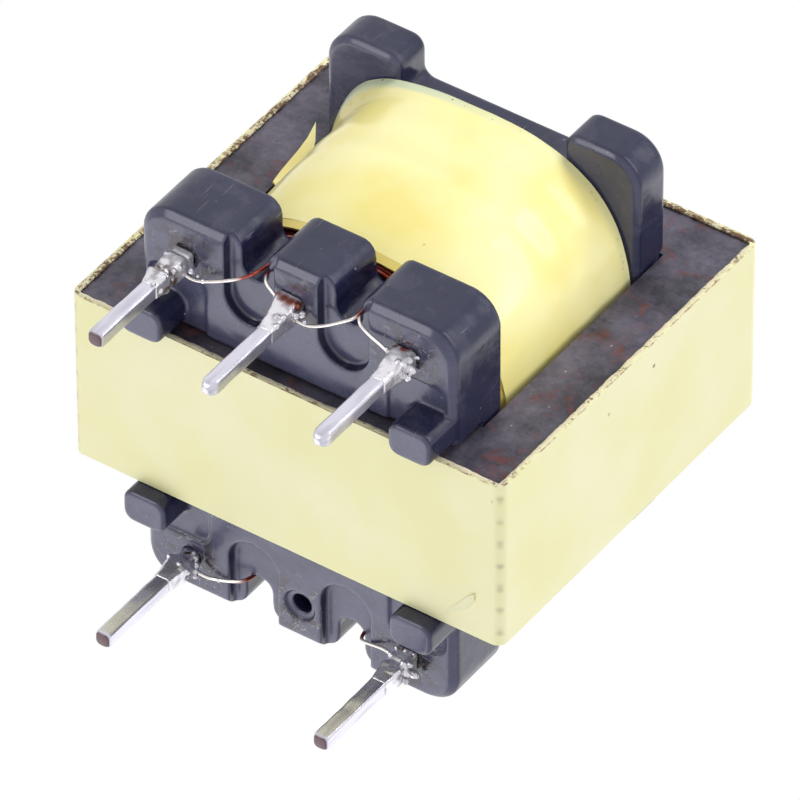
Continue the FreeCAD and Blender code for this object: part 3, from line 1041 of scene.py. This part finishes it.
@dataclass
class Coil:
    """The windings and the tape round them."""

    tape: Material
    # A darker copy of the coil tape for the layer below the wrap: painted shade.
    shaded_under_tape: Material
    copper: Material
    wall: float = 0.08
    squareness: float = 2.72
    lean: float = 0.42
    rim_square: float = 0.8
    tuck_share: float = 0.06
    tuck_width: float = 0.9
    tuck_depth: float = 0.66
    ripple: float = 0.014
    ripple_length: float = 1.45
    ripple_phase: float = 7.3
    ripple_start: float = -1.1
    ripple_full: float = -0.4
    base_depth: float = 5.85
    belly: float = 0.6
    lower_edge: float = 3.85
    under_edge: float = 3.58
    belly_power: float = 3.0
    fold_width: float = 1.1
    fold_length: float = 5.0
    fold_depth: float = 0.018
    under_fold_depth: float = 0.01
    crease_start: Vector = Vector((-3.77, -4.79, 5.7))
    crease_run: Vector = Vector((0.3, -0.49, 2.9))
    crease_core: float = 0.03
    crease_width: float = 0.09
    crease_lump: float = 0.3
    # The crease's paler colour is a painted highlight.
    crease_highlight_share: float = 0.8
    loose_start: float = 0.38
    loose_full: float = 0.22
    loose_share: float = 0.95
    loose_right: float = 0.3
    loose_side: tuple[float, float] = (-1.5, 2.0)
    flare_start: float = 0.88
    flare_side: tuple[float, float] = (0.3, -0.6)
    strip_place: float = -2.9
    strip_slope: float = 0.25
    strip_middle: float = -5.3
    strip_wall: Vector = Vector((0.02, -0.05, 0.0))
    strip_outline: tuple[tuple[float, float], ...] = (
        (-4.95, 7.3), (-5.27, 7.42), (-5.34, 7.9), (-5.44, 8.9), (-5.52, 9.43), (-5.69, 10.08),
        (-5.5, 9.8), (-5.3, 9.5), (-5.05, 9.0), (-4.95, 8.2))
    wire: float = 0.13
    wire_gap: float = 0.02
    slump: float = 0.12
    around: int = 420
    across: int = 100

    def _squared(self, add: Adder, wave: Node | Socket, power: Node, half: Node | Socket) -> Node:
        """A place along one axis of a circle that is pushed out towards a square.

        Args:
            add: Adds a node to the tree.
            wave: The place on a round circle, from minus one to one.
            power: The power that squares the circle.
            half: Half of the outline's width along the axis.

        Returns:
            A node whose output is the place.
        """
        size = add(Sum.POWER, [add(Sum.ABSOLUTE, [wave]), power])
        size = add(Sum.MULTIPLY, [size, add(Sum.SIGN, [wave])])
        return add(Sum.MULTIPLY, [size, half])

    def shape_wrap(self, add: Adder, given: dict[str, Socket]) -> Node:
        """A film wrapped round the windings: a swollen outline that widens towards the top flange,
        with its upper edge folded in over the windings.

        Args:
            add: Adds a node to the tree.
            given: The tree's inputs.

        Returns:
            The node that gives the last geometry.
        """
        grid = add(GRID, {"Size X": 1.0, "Size Y": 1.0, "Vertices X": self.around,
                          "Vertices Y": self.across})
        flat = add(SPLIT, [add(PLACE)]).outputs
        turn = add(Sum.MULTIPLY, [flat["X"], 2 * math.pi])
        row = add(Sum.ADD, [flat["Y"], 0.5])
        share = add(RANGE, [row, 0.0, 1 - self.tuck_share])
        tuck = add(RANGE, [row, 1 - self.tuck_share])
        fall = add(Sum.POWER, [add(Sum.SUBTRACT, [1.0, share]), self.belly_power])
        swell = add(Sum.SUBTRACT, [1.0, fall])
        depth = add(Sum.MULTIPLY_ADD, [swell, given["Belly"], given["Base Depth"]])
        cosine = add(Sum.COSINE, [turn])
        square = add(Sum.MULTIPLY_ADD, [cosine, given["Lean"], given["Squareness"]])
        flare = add(RANGE, [share, self.flare_start, 1.0], interpolation_type="SMOOTHSTEP")
        flare = add(Sum.MULTIPLY, [flare, add(RANGE, [cosine, *self.flare_side])])
        square = add(Sum.MULTIPLY_ADD, [flare, given["Rim Square"], square])
        power = add(Sum.DIVIDE, [2.0, square])
        bent = []
        for wave, half, least in ((cosine, given["Half Width"], given["Tuck Width"]),
                                  (add(Sum.SINE, [turn]), depth, given["Tuck Depth"])):
            left = add(RANGE, [tuck, 0.0, 1.0, 1.0, least])
            bent.append(self._squared(add, wave, power, add(Sum.MULTIPLY, [half, left])))
        bent.append(add(Sum.MULTIPLY_ADD, [share, given["Height"], given["Bottom"]]))
        wrap = add(MOVE, {"Geometry": grid, "Position": add(JOIN, bent)})
        wrap = add("GeometryNodeMergeByDistance", {"Geometry": wrap, "Distance": SEAM_GAP * MM})
        across, along = per_metre(self.fold_width), per_metre(self.fold_length)
        where = add(VECTOR_SUM, [add(PLACE), (across, across, along)], operation="MULTIPLY")
        folds = add(NOISE, {"Vector": where, "W": given["Seed"], "Scale": 1.0, "Detail": 1.0},
                    noise_dimensions="4D")
        push = add(Sum.MULTIPLY, [add(RANGE, [folds, *NOISE_SPAN, -1.0, 0.0]), given["Fold Depth"]])
        height = add(SPLIT, [add(PLACE)]).outputs["Z"]
        height = add(Sum.SUBTRACT, [height, given["Ripple Phase"]])
        beat = add(Sum.DIVIDE, [height, given["Ripple Length"]])
        beat = add(Sum.SINE, [add(Sum.MULTIPLY, [beat, 2 * math.pi])])
        beat = add(Sum.SUBTRACT, [beat, 1.0])
        upper = add(RANGE, [height, self.ripple_start * MM, self.ripple_full * MM])
        beat = add(Sum.MULTIPLY, [beat, upper])
        push = add(Sum.MULTIPLY_ADD, [beat, given["Ripple"], push])
        offset = add(VECTOR_SUM, {0: add("GeometryNodeInputNormal"), "Scale": push},
                     operation="SCALE")
        return add(MOVE, {"Geometry": wrap, "Offset": offset})

    def wrap(self) -> None:
        """Makes the outer wrap of tape from the CAD coil's box, and the layer that shows below it."""
        _, high = box_of("coil_tape")
        for name, inset, bottom, fold, finish, replaced in (
                ("coil_tape_wrap", 0.0, self.lower_edge, self.fold_depth, self.tape, ["coil_tape"]),
                ("coil_tape_under", self.wall, self.under_edge, self.under_fold_depth, self.shaded_under_tape, [])):
            mesh = grown(name, self.shape_wrap, finish, {
                "Half Width": high.x - inset, "Base Depth": self.base_depth - inset, "Belly": self.belly,
                "Bottom": bottom, "Height": high.z - inset / 4 - bottom, "Fold Depth": fold,
                "Ripple": self.ripple, "Ripple Length": self.ripple_length,
                "Ripple Phase": self.ripple_phase}, {
                "Squareness": self.squareness, "Lean": self.lean, "Rim Square": self.rim_square,
                "Tuck Width": self.tuck_width, "Tuck Depth": self.tuck_depth, "Seed": 1.3})
            mesh = thickened(mesh, self.wall)
            paint(mesh, "lift", lambda p: self.lift_and_highlight_share(p, high.z))
            publish(name, mesh, finish, replaced)

    def lift_and_highlight_share(self, place: Vector, top: float) -> float:
        """How pale the film is painted: where it has come free along its upper edge at the left, and a
        painted highlight on a crease down the left corner.

        Args:
            place: A point of the film in millimetres.
            top: The height of its upper edge.

        Returns:
            A share from zero to one.
        """
        edge = rise(place.z, top - self.loose_start, top - self.loose_full)
        edge *= self.loose_right + (1 - self.loose_right) * rise(-place.x, *self.loose_side)
        along = min(1.0, max(0.0, (place.z - self.crease_start.z) / self.crease_run.z))
        crease = self.crease_start + self.crease_run * along
        away = (place - crease).length + self.crease_core * lumpy(place, self.crease_lump, 2.0)
        crease_highlight = self.crease_highlight_share * (1 - rise(away, self.crease_core, self.crease_width))
        return max(self.loose_share * edge, crease_highlight)

    def strip(self) -> None:
        """Makes the tape's loose end, a pointed strip that lies over the leg beside the coil."""
        back = [Vector((x, self.strip_place + self.strip_slope * (x - self.strip_middle), z))
                for x, z in self.strip_outline]
        front = [point + self.strip_wall for point in back]
        publish("coil_tape_end", ring_mesh("coil_tape_end", [back, front]), self.tape)

    def shape_turns(self, add: Adder, given: dict[str, Socket]) -> Node:
        """One layer of wire turns, each a ring, stacked along the coil.

        Args:
            add: Adds a node to the tree.
            given: The tree's inputs.

        Returns:
            The node that gives the last geometry.
        """
        circle = add(CIRCLE, {"Resolution": 128, "Radius": 1.0})
        place = add(SPLIT, [add(PLACE)]).outputs
        power = add(Sum.DIVIDE, [2.0, given["Squareness"]])
        bent = add(JOIN, [self._squared(add, place["X"], power, given["Half Width"]),
                          self._squared(add, place["Y"], power, given["Half Depth"])])
        path = add(MOVE, {"Geometry": circle, "Position": bent})
        section = add(CIRCLE, {"Resolution": 8, "Radius": given["Wire Radius"]})
        line = add("GeometryNodeMeshLine", {
            "Count": given["Turns"], "Start Location": add(JOIN, {"Z": given["Bottom"]}),
            "Offset": add(JOIN, {"Z": given["Pitch"]})}, mode="OFFSET")
        ring = add(SWEEP, {"Curve": path, "Profile Curve": section})
        return add("GeometryNodeInstanceOnPoints", {"Points": line, "Instance": ring})

    def wind(self) -> None:
        """Makes the outer layer of turns and dresses what lies inside it."""
        low, high = box_of("outer_winding")
        bottom = low.z - self.slump
        inset = 2 * self.wall + self.wire / 2 + self.wire_gap
        mesh = grown("outer_winding_turns", self.shape_turns, self.copper, {
            "Half Width": high.x + self.wall - inset, "Half Depth": self.base_depth - inset,
            "Bottom": bottom + self.wire / 2, "Pitch": self.wire, "Wire Radius": self.wire / 2}, {
            "Squareness": self.squareness - self.lean, "Turns": float(int((high.z - bottom) / self.wire))})
        paint(mesh, "tinned", lambda p: 0.0)
        publish("outer_winding_turns", mesh, self.copper, ["outer_winding"])
        dress(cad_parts["inner_winding"].data, self.copper)
        dress(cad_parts["insulation_tape"].data, self.tape)


class Kind(Enum):
    """What shows on a lump of a solder joint."""

    SOLDER = "solder"
    COPPER = "copper"
    FLUX = "flux"


@dataclass(frozen=True)
class Lump:
    """A round lump on a solder joint, placed from the pin's middle line."""

    x: float
    y: float
    z: float
    radius: float
    kind: Kind = Kind.SOLDER


@dataclass(frozen=True)
class Joint:
    """One hand laid solder joint.

    The profile gives, from the tip to the root, a height, half of the body's width and the shift of
    its middle in X.
    """

    pin: int
    profile: tuple[tuple[float, float, float], ...]
    lumps: tuple[Lump, ...]


@dataclass(frozen=True)
class Tip:
    """A pin's cut end: the share of its width that rounds off, its length and the share of bare steel."""

    rounding: float
    length: float
    bare: float


@dataclass
class PinSet:
    """The five pins and the solder on their roots."""

    tin: Material
    solder: Material
    points: int = 40
    levels: int = 110
    edge_radius: float = 0.11
    unevenness: float = 0.016
    coat_lump: float = 0.5
    level_power: float = 1.4
    roundest: float = 0.98
    cut_start: float = 0.01
    cut_end: float = 0.06
    blunt_pins: tuple[int, ...] = (1, 4, 5)
    blunt_tip: Tip = Tip(0.2, 0.14, 1.0)
    round_tip: Tip = Tip(0.72, 0.34, 0.15)
    body_radius: float = 0.13
    body_wave: float = 0.025
    body_lump: float = 0.2
    body_steps: int = 4
    largest_lump: float = 0.2
    mark_core: float = 1.2
    mark_reach: float = 2.5
    voxel: float = 0.018
    smooth_rounds: int = 7
    triangles: int = 24000
    joints: tuple[Joint, ...] = (
        Joint(1, ((-0.6, 0.255, 0.0), (-0.42, 0.28, -0.01), (-0.12, 0.35, -0.03), (-0.04, 0.33, -0.02),
                  (0.01, 0.25, 0.0), (0.08, 0.24, 0.0), (0.13, 0.31, -0.01), (0.5, 0.33, -0.02),
                  (0.72, 0.34, -0.02), (0.8, 0.29, 0.0), (1.12, 0.36, 0.0)),
              (Lump(0.22, -0.27, -0.2, 0.09), Lump(0.14, -0.28, -0.58, 0.07), Lump(0.27, -0.25, 0.16, 0.1),
               Lump(0.3, -0.2, 0.42, 0.1), Lump(0.28, 0.02, -0.42, 0.07), Lump(-0.3, -0.28, 0.64, 0.07),
               Lump(0.45, 0.05, 0.75, 0.1), Lump(0.6, 0.22, 0.84, 0.06), Lump(0.76, 0.34, 0.86, 0.085),
               Lump(0.85, 0.31, 0.86, 0.06), Lump(0.0, 0.1, 0.06, 0.27, Kind.FLUX))),
        Joint(2, ((-0.35, 0.255, 0.0), (0.0, 0.28, -0.02), (0.3, 0.31, -0.05), (0.6, 0.36, -0.1),
                  (0.9, 0.39, -0.15), (1.12, 0.4, -0.15)),
              (Lump(0.03, -0.29, 0.19, 0.09), Lump(0.2, -0.28, 0.28, 0.09), Lump(0.22, -0.24, -0.07, 0.09),
               Lump(0.38, -0.2, 0.6, 0.1), Lump(0.42, -0.12, 0.82, 0.11), Lump(0.52, 0.08, 0.78, 0.08),
               Lump(-0.55, -0.2, 0.93, 0.07), Lump(-0.42, -0.28, 0.92, 0.08, Kind.COPPER),
               Lump(-0.2, -0.28, 0.86, 0.1, Kind.COPPER), Lump(0.02, -0.28, 0.84, 0.1, Kind.COPPER),
               Lump(0.22, -0.26, 0.9, 0.09, Kind.COPPER))),
        Joint(3, ((-0.3, 0.255, 0.0), (0.1, 0.28, 0.0), (0.4, 0.33, 0.0), (0.8, 0.37, 0.0),
                  (1.12, 0.38, 0.0)),
              (Lump(0.14, -0.3, 0.5, 0.1), Lump(0.3, -0.25, 0.82, 0.12), Lump(0.43, 0.0, 0.74, 0.14),
               Lump(0.45, 0.12, 0.52, 0.1), Lump(-0.33, -0.27, 0.72, 0.08), Lump(-0.48, -0.22, 0.86, 0.06),
               Lump(0.0, -0.32, 1.0, 0.07, Kind.COPPER), Lump(0.18, -0.32, 1.04, 0.06, Kind.FLUX),
               Lump(-0.28, -0.3, 0.98, 0.06, Kind.COPPER), Lump(0.42, -0.22, 1.04, 0.06, Kind.FLUX))),
        Joint(4, ((-0.3, 0.255, 0.0), (0.0, 0.28, 0.0), (0.35, 0.33, 0.0), (0.58, 0.34, -0.02),
                  (0.7, 0.28, 0.0), (0.82, 0.22, 0.0), (1.12, 0.24, 0.0)),
              (Lump(0.14, -0.3, 0.38, 0.09), Lump(-0.3, -0.28, 0.5, 0.08), Lump(0.34, -0.1, 0.42, 0.11),
               Lump(0.18, -0.28, 1.0, 0.08), Lump(0.3, -0.22, 0.92, 0.09), Lump(0.38, -0.08, 0.84, 0.1),
               Lump(0.42, 0.08, 0.74, 0.1), Lump(0.46, 0.18, 0.66, 0.09),
               Lump(-0.1, -0.1, 1.1, 0.2, Kind.FLUX), Lump(1.03, 0.29, 0.98, 0.065))),
        Joint(5, ((-0.35, 0.255, 0.0), (0.0, 0.29, 0.0), (0.3, 0.34, 0.0), (0.43, 0.32, 0.0),
                  (0.52, 0.27, 0.0), (0.66, 0.33, 0.0), (0.9, 0.32, 0.0), (1.12, 0.36, 0.0)),
              (Lump(0.22, -0.3, 0.56, 0.09), Lump(0.36, -0.22, 0.69, 0.1), Lump(0.45, 0.12, 0.74, 0.13),
               Lump(0.43, 0.3, 0.9, 0.1), Lump(-0.28, -0.29, 0.68, 0.08), Lump(0.42, 0.08, 0.35, 0.12),
               Lump(-0.28, -0.32, 0.95, 0.06, Kind.FLUX), Lump(0.0, -0.33, 1.0, 0.07, Kind.FLUX),
               Lump(0.28, -0.3, 1.02, 0.07, Kind.FLUX), Lump(0.5, -0.05, 1.02, 0.07, Kind.FLUX))),
    )

    def section(self, centre: Vector, half: float, radius: float) -> list[Vector]:
        """A square section with round corners, level with the board.

        Args:
            centre: The middle of the section.
            half: Half of the square's side.
            radius: The radius of its corners.

        Returns:
            The points of the section.
        """
        ring = []
        quarter = self.points // 4
        for corner in range(4):
            turn = math.radians(90 * corner)
            axis = Vector((math.cos(turn) - math.sin(turn), math.sin(turn) + math.cos(turn), 0))
            middle = centre + axis * (half - radius)
            for step in range(quarter):
                angle = turn + math.radians(90) * step / (quarter - 1)
                ring.append(middle + Vector((math.cos(angle), math.sin(angle), 0)) * radius)
        return ring

    def make_pin(self, number: int) -> None:
        """Makes one pin from its CAD node's box, with an uneven coat and a cut end.

        Args:
            number: The pin's number.
        """
        name = f"pin_{number}"
        low, high = box_of(name)
        half = (high.x - low.x) / 2
        middle = (low + high) / 2
        end = self.blunt_tip if number in self.blunt_pins else self.round_tip
        rings = []
        for level in range(self.levels + 1):
            z = low.z + (high.z - low.z) * (level / self.levels) ** self.level_power
            rest = max(0.0, 1 - (z - low.z) / end.length)
            tip = 1 - end.rounding * (1 - math.sqrt(1 - rest * rest))
            corner = self.edge_radius + (half - self.edge_radius) * (1 - tip) / end.rounding
            centre = Vector((middle.x, middle.y, z))
            rings.append([point + (point - centre).normalized() * (
                self.unevenness * (lumpy(point, self.coat_lump, number) - 1.0))
                for point in self.section(centre, half * tip, min(corner, self.roundest * half) * tip)])
        mesh = ring_mesh(name, rings)
        paint(mesh, "cut", lambda p: end.bare * (
            1 - rise(p.z, low.z + self.cut_start, low.z + self.cut_end)))
        publish(f"{name}_tinned", mesh, self.tin, [name])

    def make_joint(self, joint: Joint) -> None:
        """Makes the solder on one pin's root: a body along the pin with lumps, fused to one skin.

        Args:
            joint: The joint's shape.
        """
        low, high = box_of(f"pin_{joint.pin}")
        middle = (low + high) / 2
        rings = []
        for (low_z, low_half, low_x), (high_z, high_half, high_x) in zip(joint.profile, joint.profile[1:]):
            for step in range(self.body_steps):
                share = step / self.body_steps
                centre = Vector((middle.x + low_x + (high_x - low_x) * share, middle.y,
                                 low_z + (high_z - low_z) * share))
                half = low_half + (high_half - low_half) * share
                rings.append([point + (point - centre).normalized() * self.body_wave
                              * lumpy(point, self.body_lump, 7.0 * joint.pin)
                              for point in self.section(centre, half, self.body_radius)])
        name = f"solder_joint_{joint.pin}"
        work = bmesh.new()
        work.from_mesh(ring_mesh(name, rings))
        bmesh.ops.scale(work, vec=(1 / MM,) * 3, verts=work.verts)
        spots = [(Vector((middle.x + lump.x, middle.y + lump.y, lump.z)), lump) for lump in joint.lumps]
        for place, lump in spots:
            if lump.radius < self.largest_lump:
                bmesh.ops.create_icosphere(work, subdivisions=3, radius=lump.radius,
                                           matrix=Matrix.Translation(place))
        mesh = fused(f"{name}_blob", work, self.voxel, self.smooth_rounds, self.triangles)
        for kind in (Kind.COPPER, Kind.FLUX):
            marked = [(place, lump.radius) for place, lump in spots if lump.kind is kind]
            paint(mesh, kind.value, lambda p: max([0.0] + [
                1 - rise((p - place).length, radius * self.mark_core, radius * self.mark_reach)
                for place, radius in marked]))
        publish(f"{name}_blob", mesh, self.solder, [name])

    def make(self) -> None:
        """Makes all pins and joints."""
        for number in range(1, 6):
            self.make_pin(number)
        for joint in self.joints:
            self.make_joint(joint)


@dataclass(frozen=True)
class WireEnd:
    """One wire end: its number, its pin and the hand laid route from its slot to the pin."""

    number: int
    pin: int
    route: tuple[tuple[float, float, float], ...]


@dataclass
class WireEnds:
    """The six wire ends, which run from the coil through the slots to the pins' roots."""

    copper: Material
    radius: float = 0.052
    sink: float = 0.06
    tinned_level: float = 1.3
    tinned_fade: float = 0.2
    tinned_reach: float = 0.35
    ends: tuple[WireEnd, ...] = (
        WireEnd(1, 1, ((-1.35, -5.0, 3.42), (-1.3, -5.56, 3.38), (-1.2, -5.9, 2.6), (-1.17, -6.05, 1.6),
                       (-1.2, -6.13, 1.05), (-1.53, -5.82, 1.0), (-2.06, -5.47, 0.95), (-2.8, -5.13, 0.85),
                       (-3.28, -5.04, 0.78))),
        WireEnd(2, 2, ((-1.42, -5.0, 3.42), (-1.36, -5.52, 3.4), (-1.25, -5.8, 2.6), (-1.16, -5.95, 1.6),
                       (-1.01, -5.94, 1.05), (-0.68, -5.74, 0.98), (-0.37, -5.68, 0.85))),
        WireEnd(3, 2, ((1.8, -5.0, 3.42), (1.85, -5.52, 3.4), (1.93, -5.8, 2.6), (1.94, -6.0, 1.6),
                       (2.02, -6.07, 1.05), (1.72, -5.84, 1.02), (0.97, -5.32, 0.95), (0.48, -5.17, 0.85))),
        WireEnd(4, 3, ((1.72, -5.0, 3.42), (1.75, -5.52, 3.4), (1.88, -5.8, 2.6), (1.93, -5.98, 1.6),
                       (2.06, -6.02, 1.05), (2.42, -5.77, 1.0), (3.06, -5.67, 0.88))),
        WireEnd(5, 4, ((-1.7, 5.0, 3.42), (-1.7, 5.5, 3.4), (-1.72, 5.56, 2.4), (-1.78, 5.47, 1.15),
                       (-2.2, 5.6, 1.03), (-2.62, 5.74, 1.0), (-3.04, 5.77, 0.9))),
        WireEnd(6, 5, ((1.75, 5.0, 3.42), (1.78, 5.5, 3.4), (1.85, 5.6, 2.4), (1.95, 5.68, 1.3),
                       (2.1, 5.66, 1.12), (2.41, 5.55, 1.05), (3.15, 5.25, 0.85))),
    )

    def make(self) -> None:
        """Makes all six wire ends, each of which ends inside the solder on its pin's root."""
        for end in self.ends:
            low, high = box_of(f"pin_{end.pin}")
            root = (low + high) / 2
            points = [Vector(place) for place in end.route]
            last = points[-1]
            points.append(Vector(((last.x + root.x) / 2, (last.y + root.y) / 2, last.z - self.sink)))
            name = f"lead_wire_{end.number}"
            mesh = tube_mesh(f"{name}_enamelled", points, self.radius)
            span = abs(root.x - end.route[-3][0])
            paint(mesh, "tinned", lambda p: rise(self.tinned_level - p.z, 0.0, self.tinned_fade)
                  * rise(1 - abs(p.x - root.x) / span, -self.tinned_reach, 0.0))
            publish(f"{name}_enamelled", mesh, self.copper, [name])


@dataclass(frozen=True)
class Lamp:
    """A soft lamp that looks at the object, from a direction, with its width and height in metres."""

    name: str
    towards: tuple[float, float, float]
    width: float
    height: float
    radiance: float
    lights: bool = True
    glints: bool = True
    distance: float = 0.42


@dataclass
class Studio:
    """The camera, the lamps, the world and the floor."""

    distance: float = 356.4
    aim: Vector = Vector((0.65, 0.43, 5.06))
    lens: float = 585.0
    sensor: float = 36.0
    nearest: float = 0.01
    right: Vector = Vector((0.82057985, 0.00335925, 0.57152203))
    up: Vector = Vector((-0.37467018, -0.75197324, 0.54236381))
    ambient: float = 0.55
    floor_half: float = 1.5
    lamps: tuple[Lamp, ...] = (
        Lamp("key", (-0.04, -0.8, 0.6), 0.16, 0.16, 11.2, glints=False),
        Lamp("coil glint", (0.6, -0.6, 0.5), 0.36, 0.045, 5.0, lights=False),
        Lamp("edge glint", (-0.43, -0.62, -0.66), 0.22, 0.22, 3.6, lights=False),
        Lamp("front glare", (-0.43, -0.66, 0.62), 0.5, 0.5, 0.15, lights=False),
        Lamp("right front fill", (0.85, -0.5, 0.25), 0.3, 0.3, 1.8, glints=False),
        Lamp("low fill", (-0.45, 0.45, -0.8), 0.4, 0.4, 1.45, glints=False),
        Lamp("table glare", (-0.43, 0.66, -0.62), 0.5, 0.5, 1.15, lights=False),
        Lamp("back glare", (0.43, 0.66, 0.62), 0.4, 0.4, 0.6, lights=False),
        Lamp("right fill", (0.95, -0.1, -0.3), 0.4, 0.4, 0.75, glints=False),
        Lamp("top fill", (-0.3, 0.5, 0.8), 0.5, 0.5, 0.67, glints=False),
    )

    def place_camera(self) -> None:
        """Sets the camera at the photograph's viewing angle."""
        data = bpy.data.cameras.new("photograph")
        data.lens = self.lens
        data.sensor_width = self.sensor
        data.clip_start = self.nearest
        camera = placed("photograph", data)
        toward = self.right.cross(self.up)
        axes = Matrix((self.right, self.up, toward)).transposed().to_4x4()
        camera.matrix_world = Matrix.Translation((self.aim + toward * self.distance) * MM) @ axes
        bpy.context.scene.camera = camera

    def hang_lamps(self) -> None:
        """Hangs the soft lamps round the object."""
        for lamp in self.lamps:
            data = bpy.data.lights.new(lamp.name, "AREA")
            data.shape = "RECTANGLE"
            data.size = lamp.width
            data.size_y = lamp.height
            data.energy = lamp.radiance * math.pi * lamp.width * lamp.height
            light = placed(lamp.name, data)
            light.visible_diffuse = lamp.lights
            light.visible_glossy = lamp.glints
            way = Vector(lamp.towards).normalized()
            turn = way.to_track_quat("Z", "Y").to_matrix().to_4x4()
            light.matrix_world = Matrix.Translation(self.aim * MM + way * lamp.distance) @ turn

    def paint_world(self) -> None:
        """A white world to the eye and in reflections, and a softer one for light."""
        world = bpy.data.worlds.new("white tent")
        world.use_nodes = True
        world.node_tree.nodes.clear()
        add = partial(add_node, world.node_tree)
        rays = add("ShaderNodeLightPath").outputs
        seen = add(Sum.MAXIMUM, [rays["Is Camera Ray"], rays["Is Glossy Ray"]])
        seen = add(Sum.MAXIMUM, [seen, rays["Is Transmission Ray"]])
        level = add(RANGE, [seen, 0.0, 1.0, self.ambient, 1.0])
        sky = add("ShaderNodeBackground", {"Color": (1.0, 1.0, 1.0, 1.0), "Strength": level})
        add("ShaderNodeOutputWorld", {"Surface": sky})
        bpy.context.scene.world = world

    def lay_floor(self) -> None:
        """Lays the floor under the pins' tips."""
        level = CAD_BOX[0][2]
        half = self.floor_half
        mesh = bpy.data.meshes.new("floor")
        mesh.from_pydata([(-half, -half, level), (half, -half, level), (half, half, level),
                          (-half, half, level)], [], [(0, 1, 2, 3)])
        dress(mesh, PaleFloor().build())
        floor = placed("floor", mesh)
        floor.visible_diffuse = False
        floor.visible_glossy = False
        floor.visible_transmission = False
        floor.visible_shadow = False

    def set_up(self) -> None:
        """Builds the whole studio."""
        bpy.context.scene.view_settings.view_transform = "Standard"
        self.place_camera()
        self.hang_lamps()
        self.paint_world()
        self.lay_floor()


def main() -> None:
    """Builds the object and its studio."""
    logging.basicConfig(level=logging.INFO, format="%(name)s: %(message)s")
    steel = VarnishedSteel().build()
    band_tape = FilmTape().build()
    coil_tape = FilmTape("yellow polyester coil tape", film="#fdf5b2", film_deep="#f8ea8f", rim="#cdb875",
                         roughness=0.18, rim_axis="Z", rim_both=False).build()
    # The under layer is the same tape as the wrap. Its deeper yellow is painted shade, for the shadow that
    # the outer wrap casts on it.
    shaded_under_tape = FilmTape("yellow polyester under layer", film="#e8d577", film_deep="#dbc25a",
                          roughness=0.3, rim_axis="Z", rim_both=False).build()
    copper = EnamelledCopper().build()
    core = Core(steel, band_tape, CrustedVarnish().build())
    core.dress_sheets()
    core.wind_band()
    core.lay_beads()
    core.lift_end()
    coil = Coil(coil_tape, shaded_under_tape, copper)
    coil.wind()
    coil.wrap()
    coil.strip()
    Bobbin(BlackMoulding().build()).mould()
    PinSet(DippedTin().build(), HandSolder().build()).make()
    WireEnds(copper).make()
    Studio().set_up()


if __name__ == "__main__":
    main()
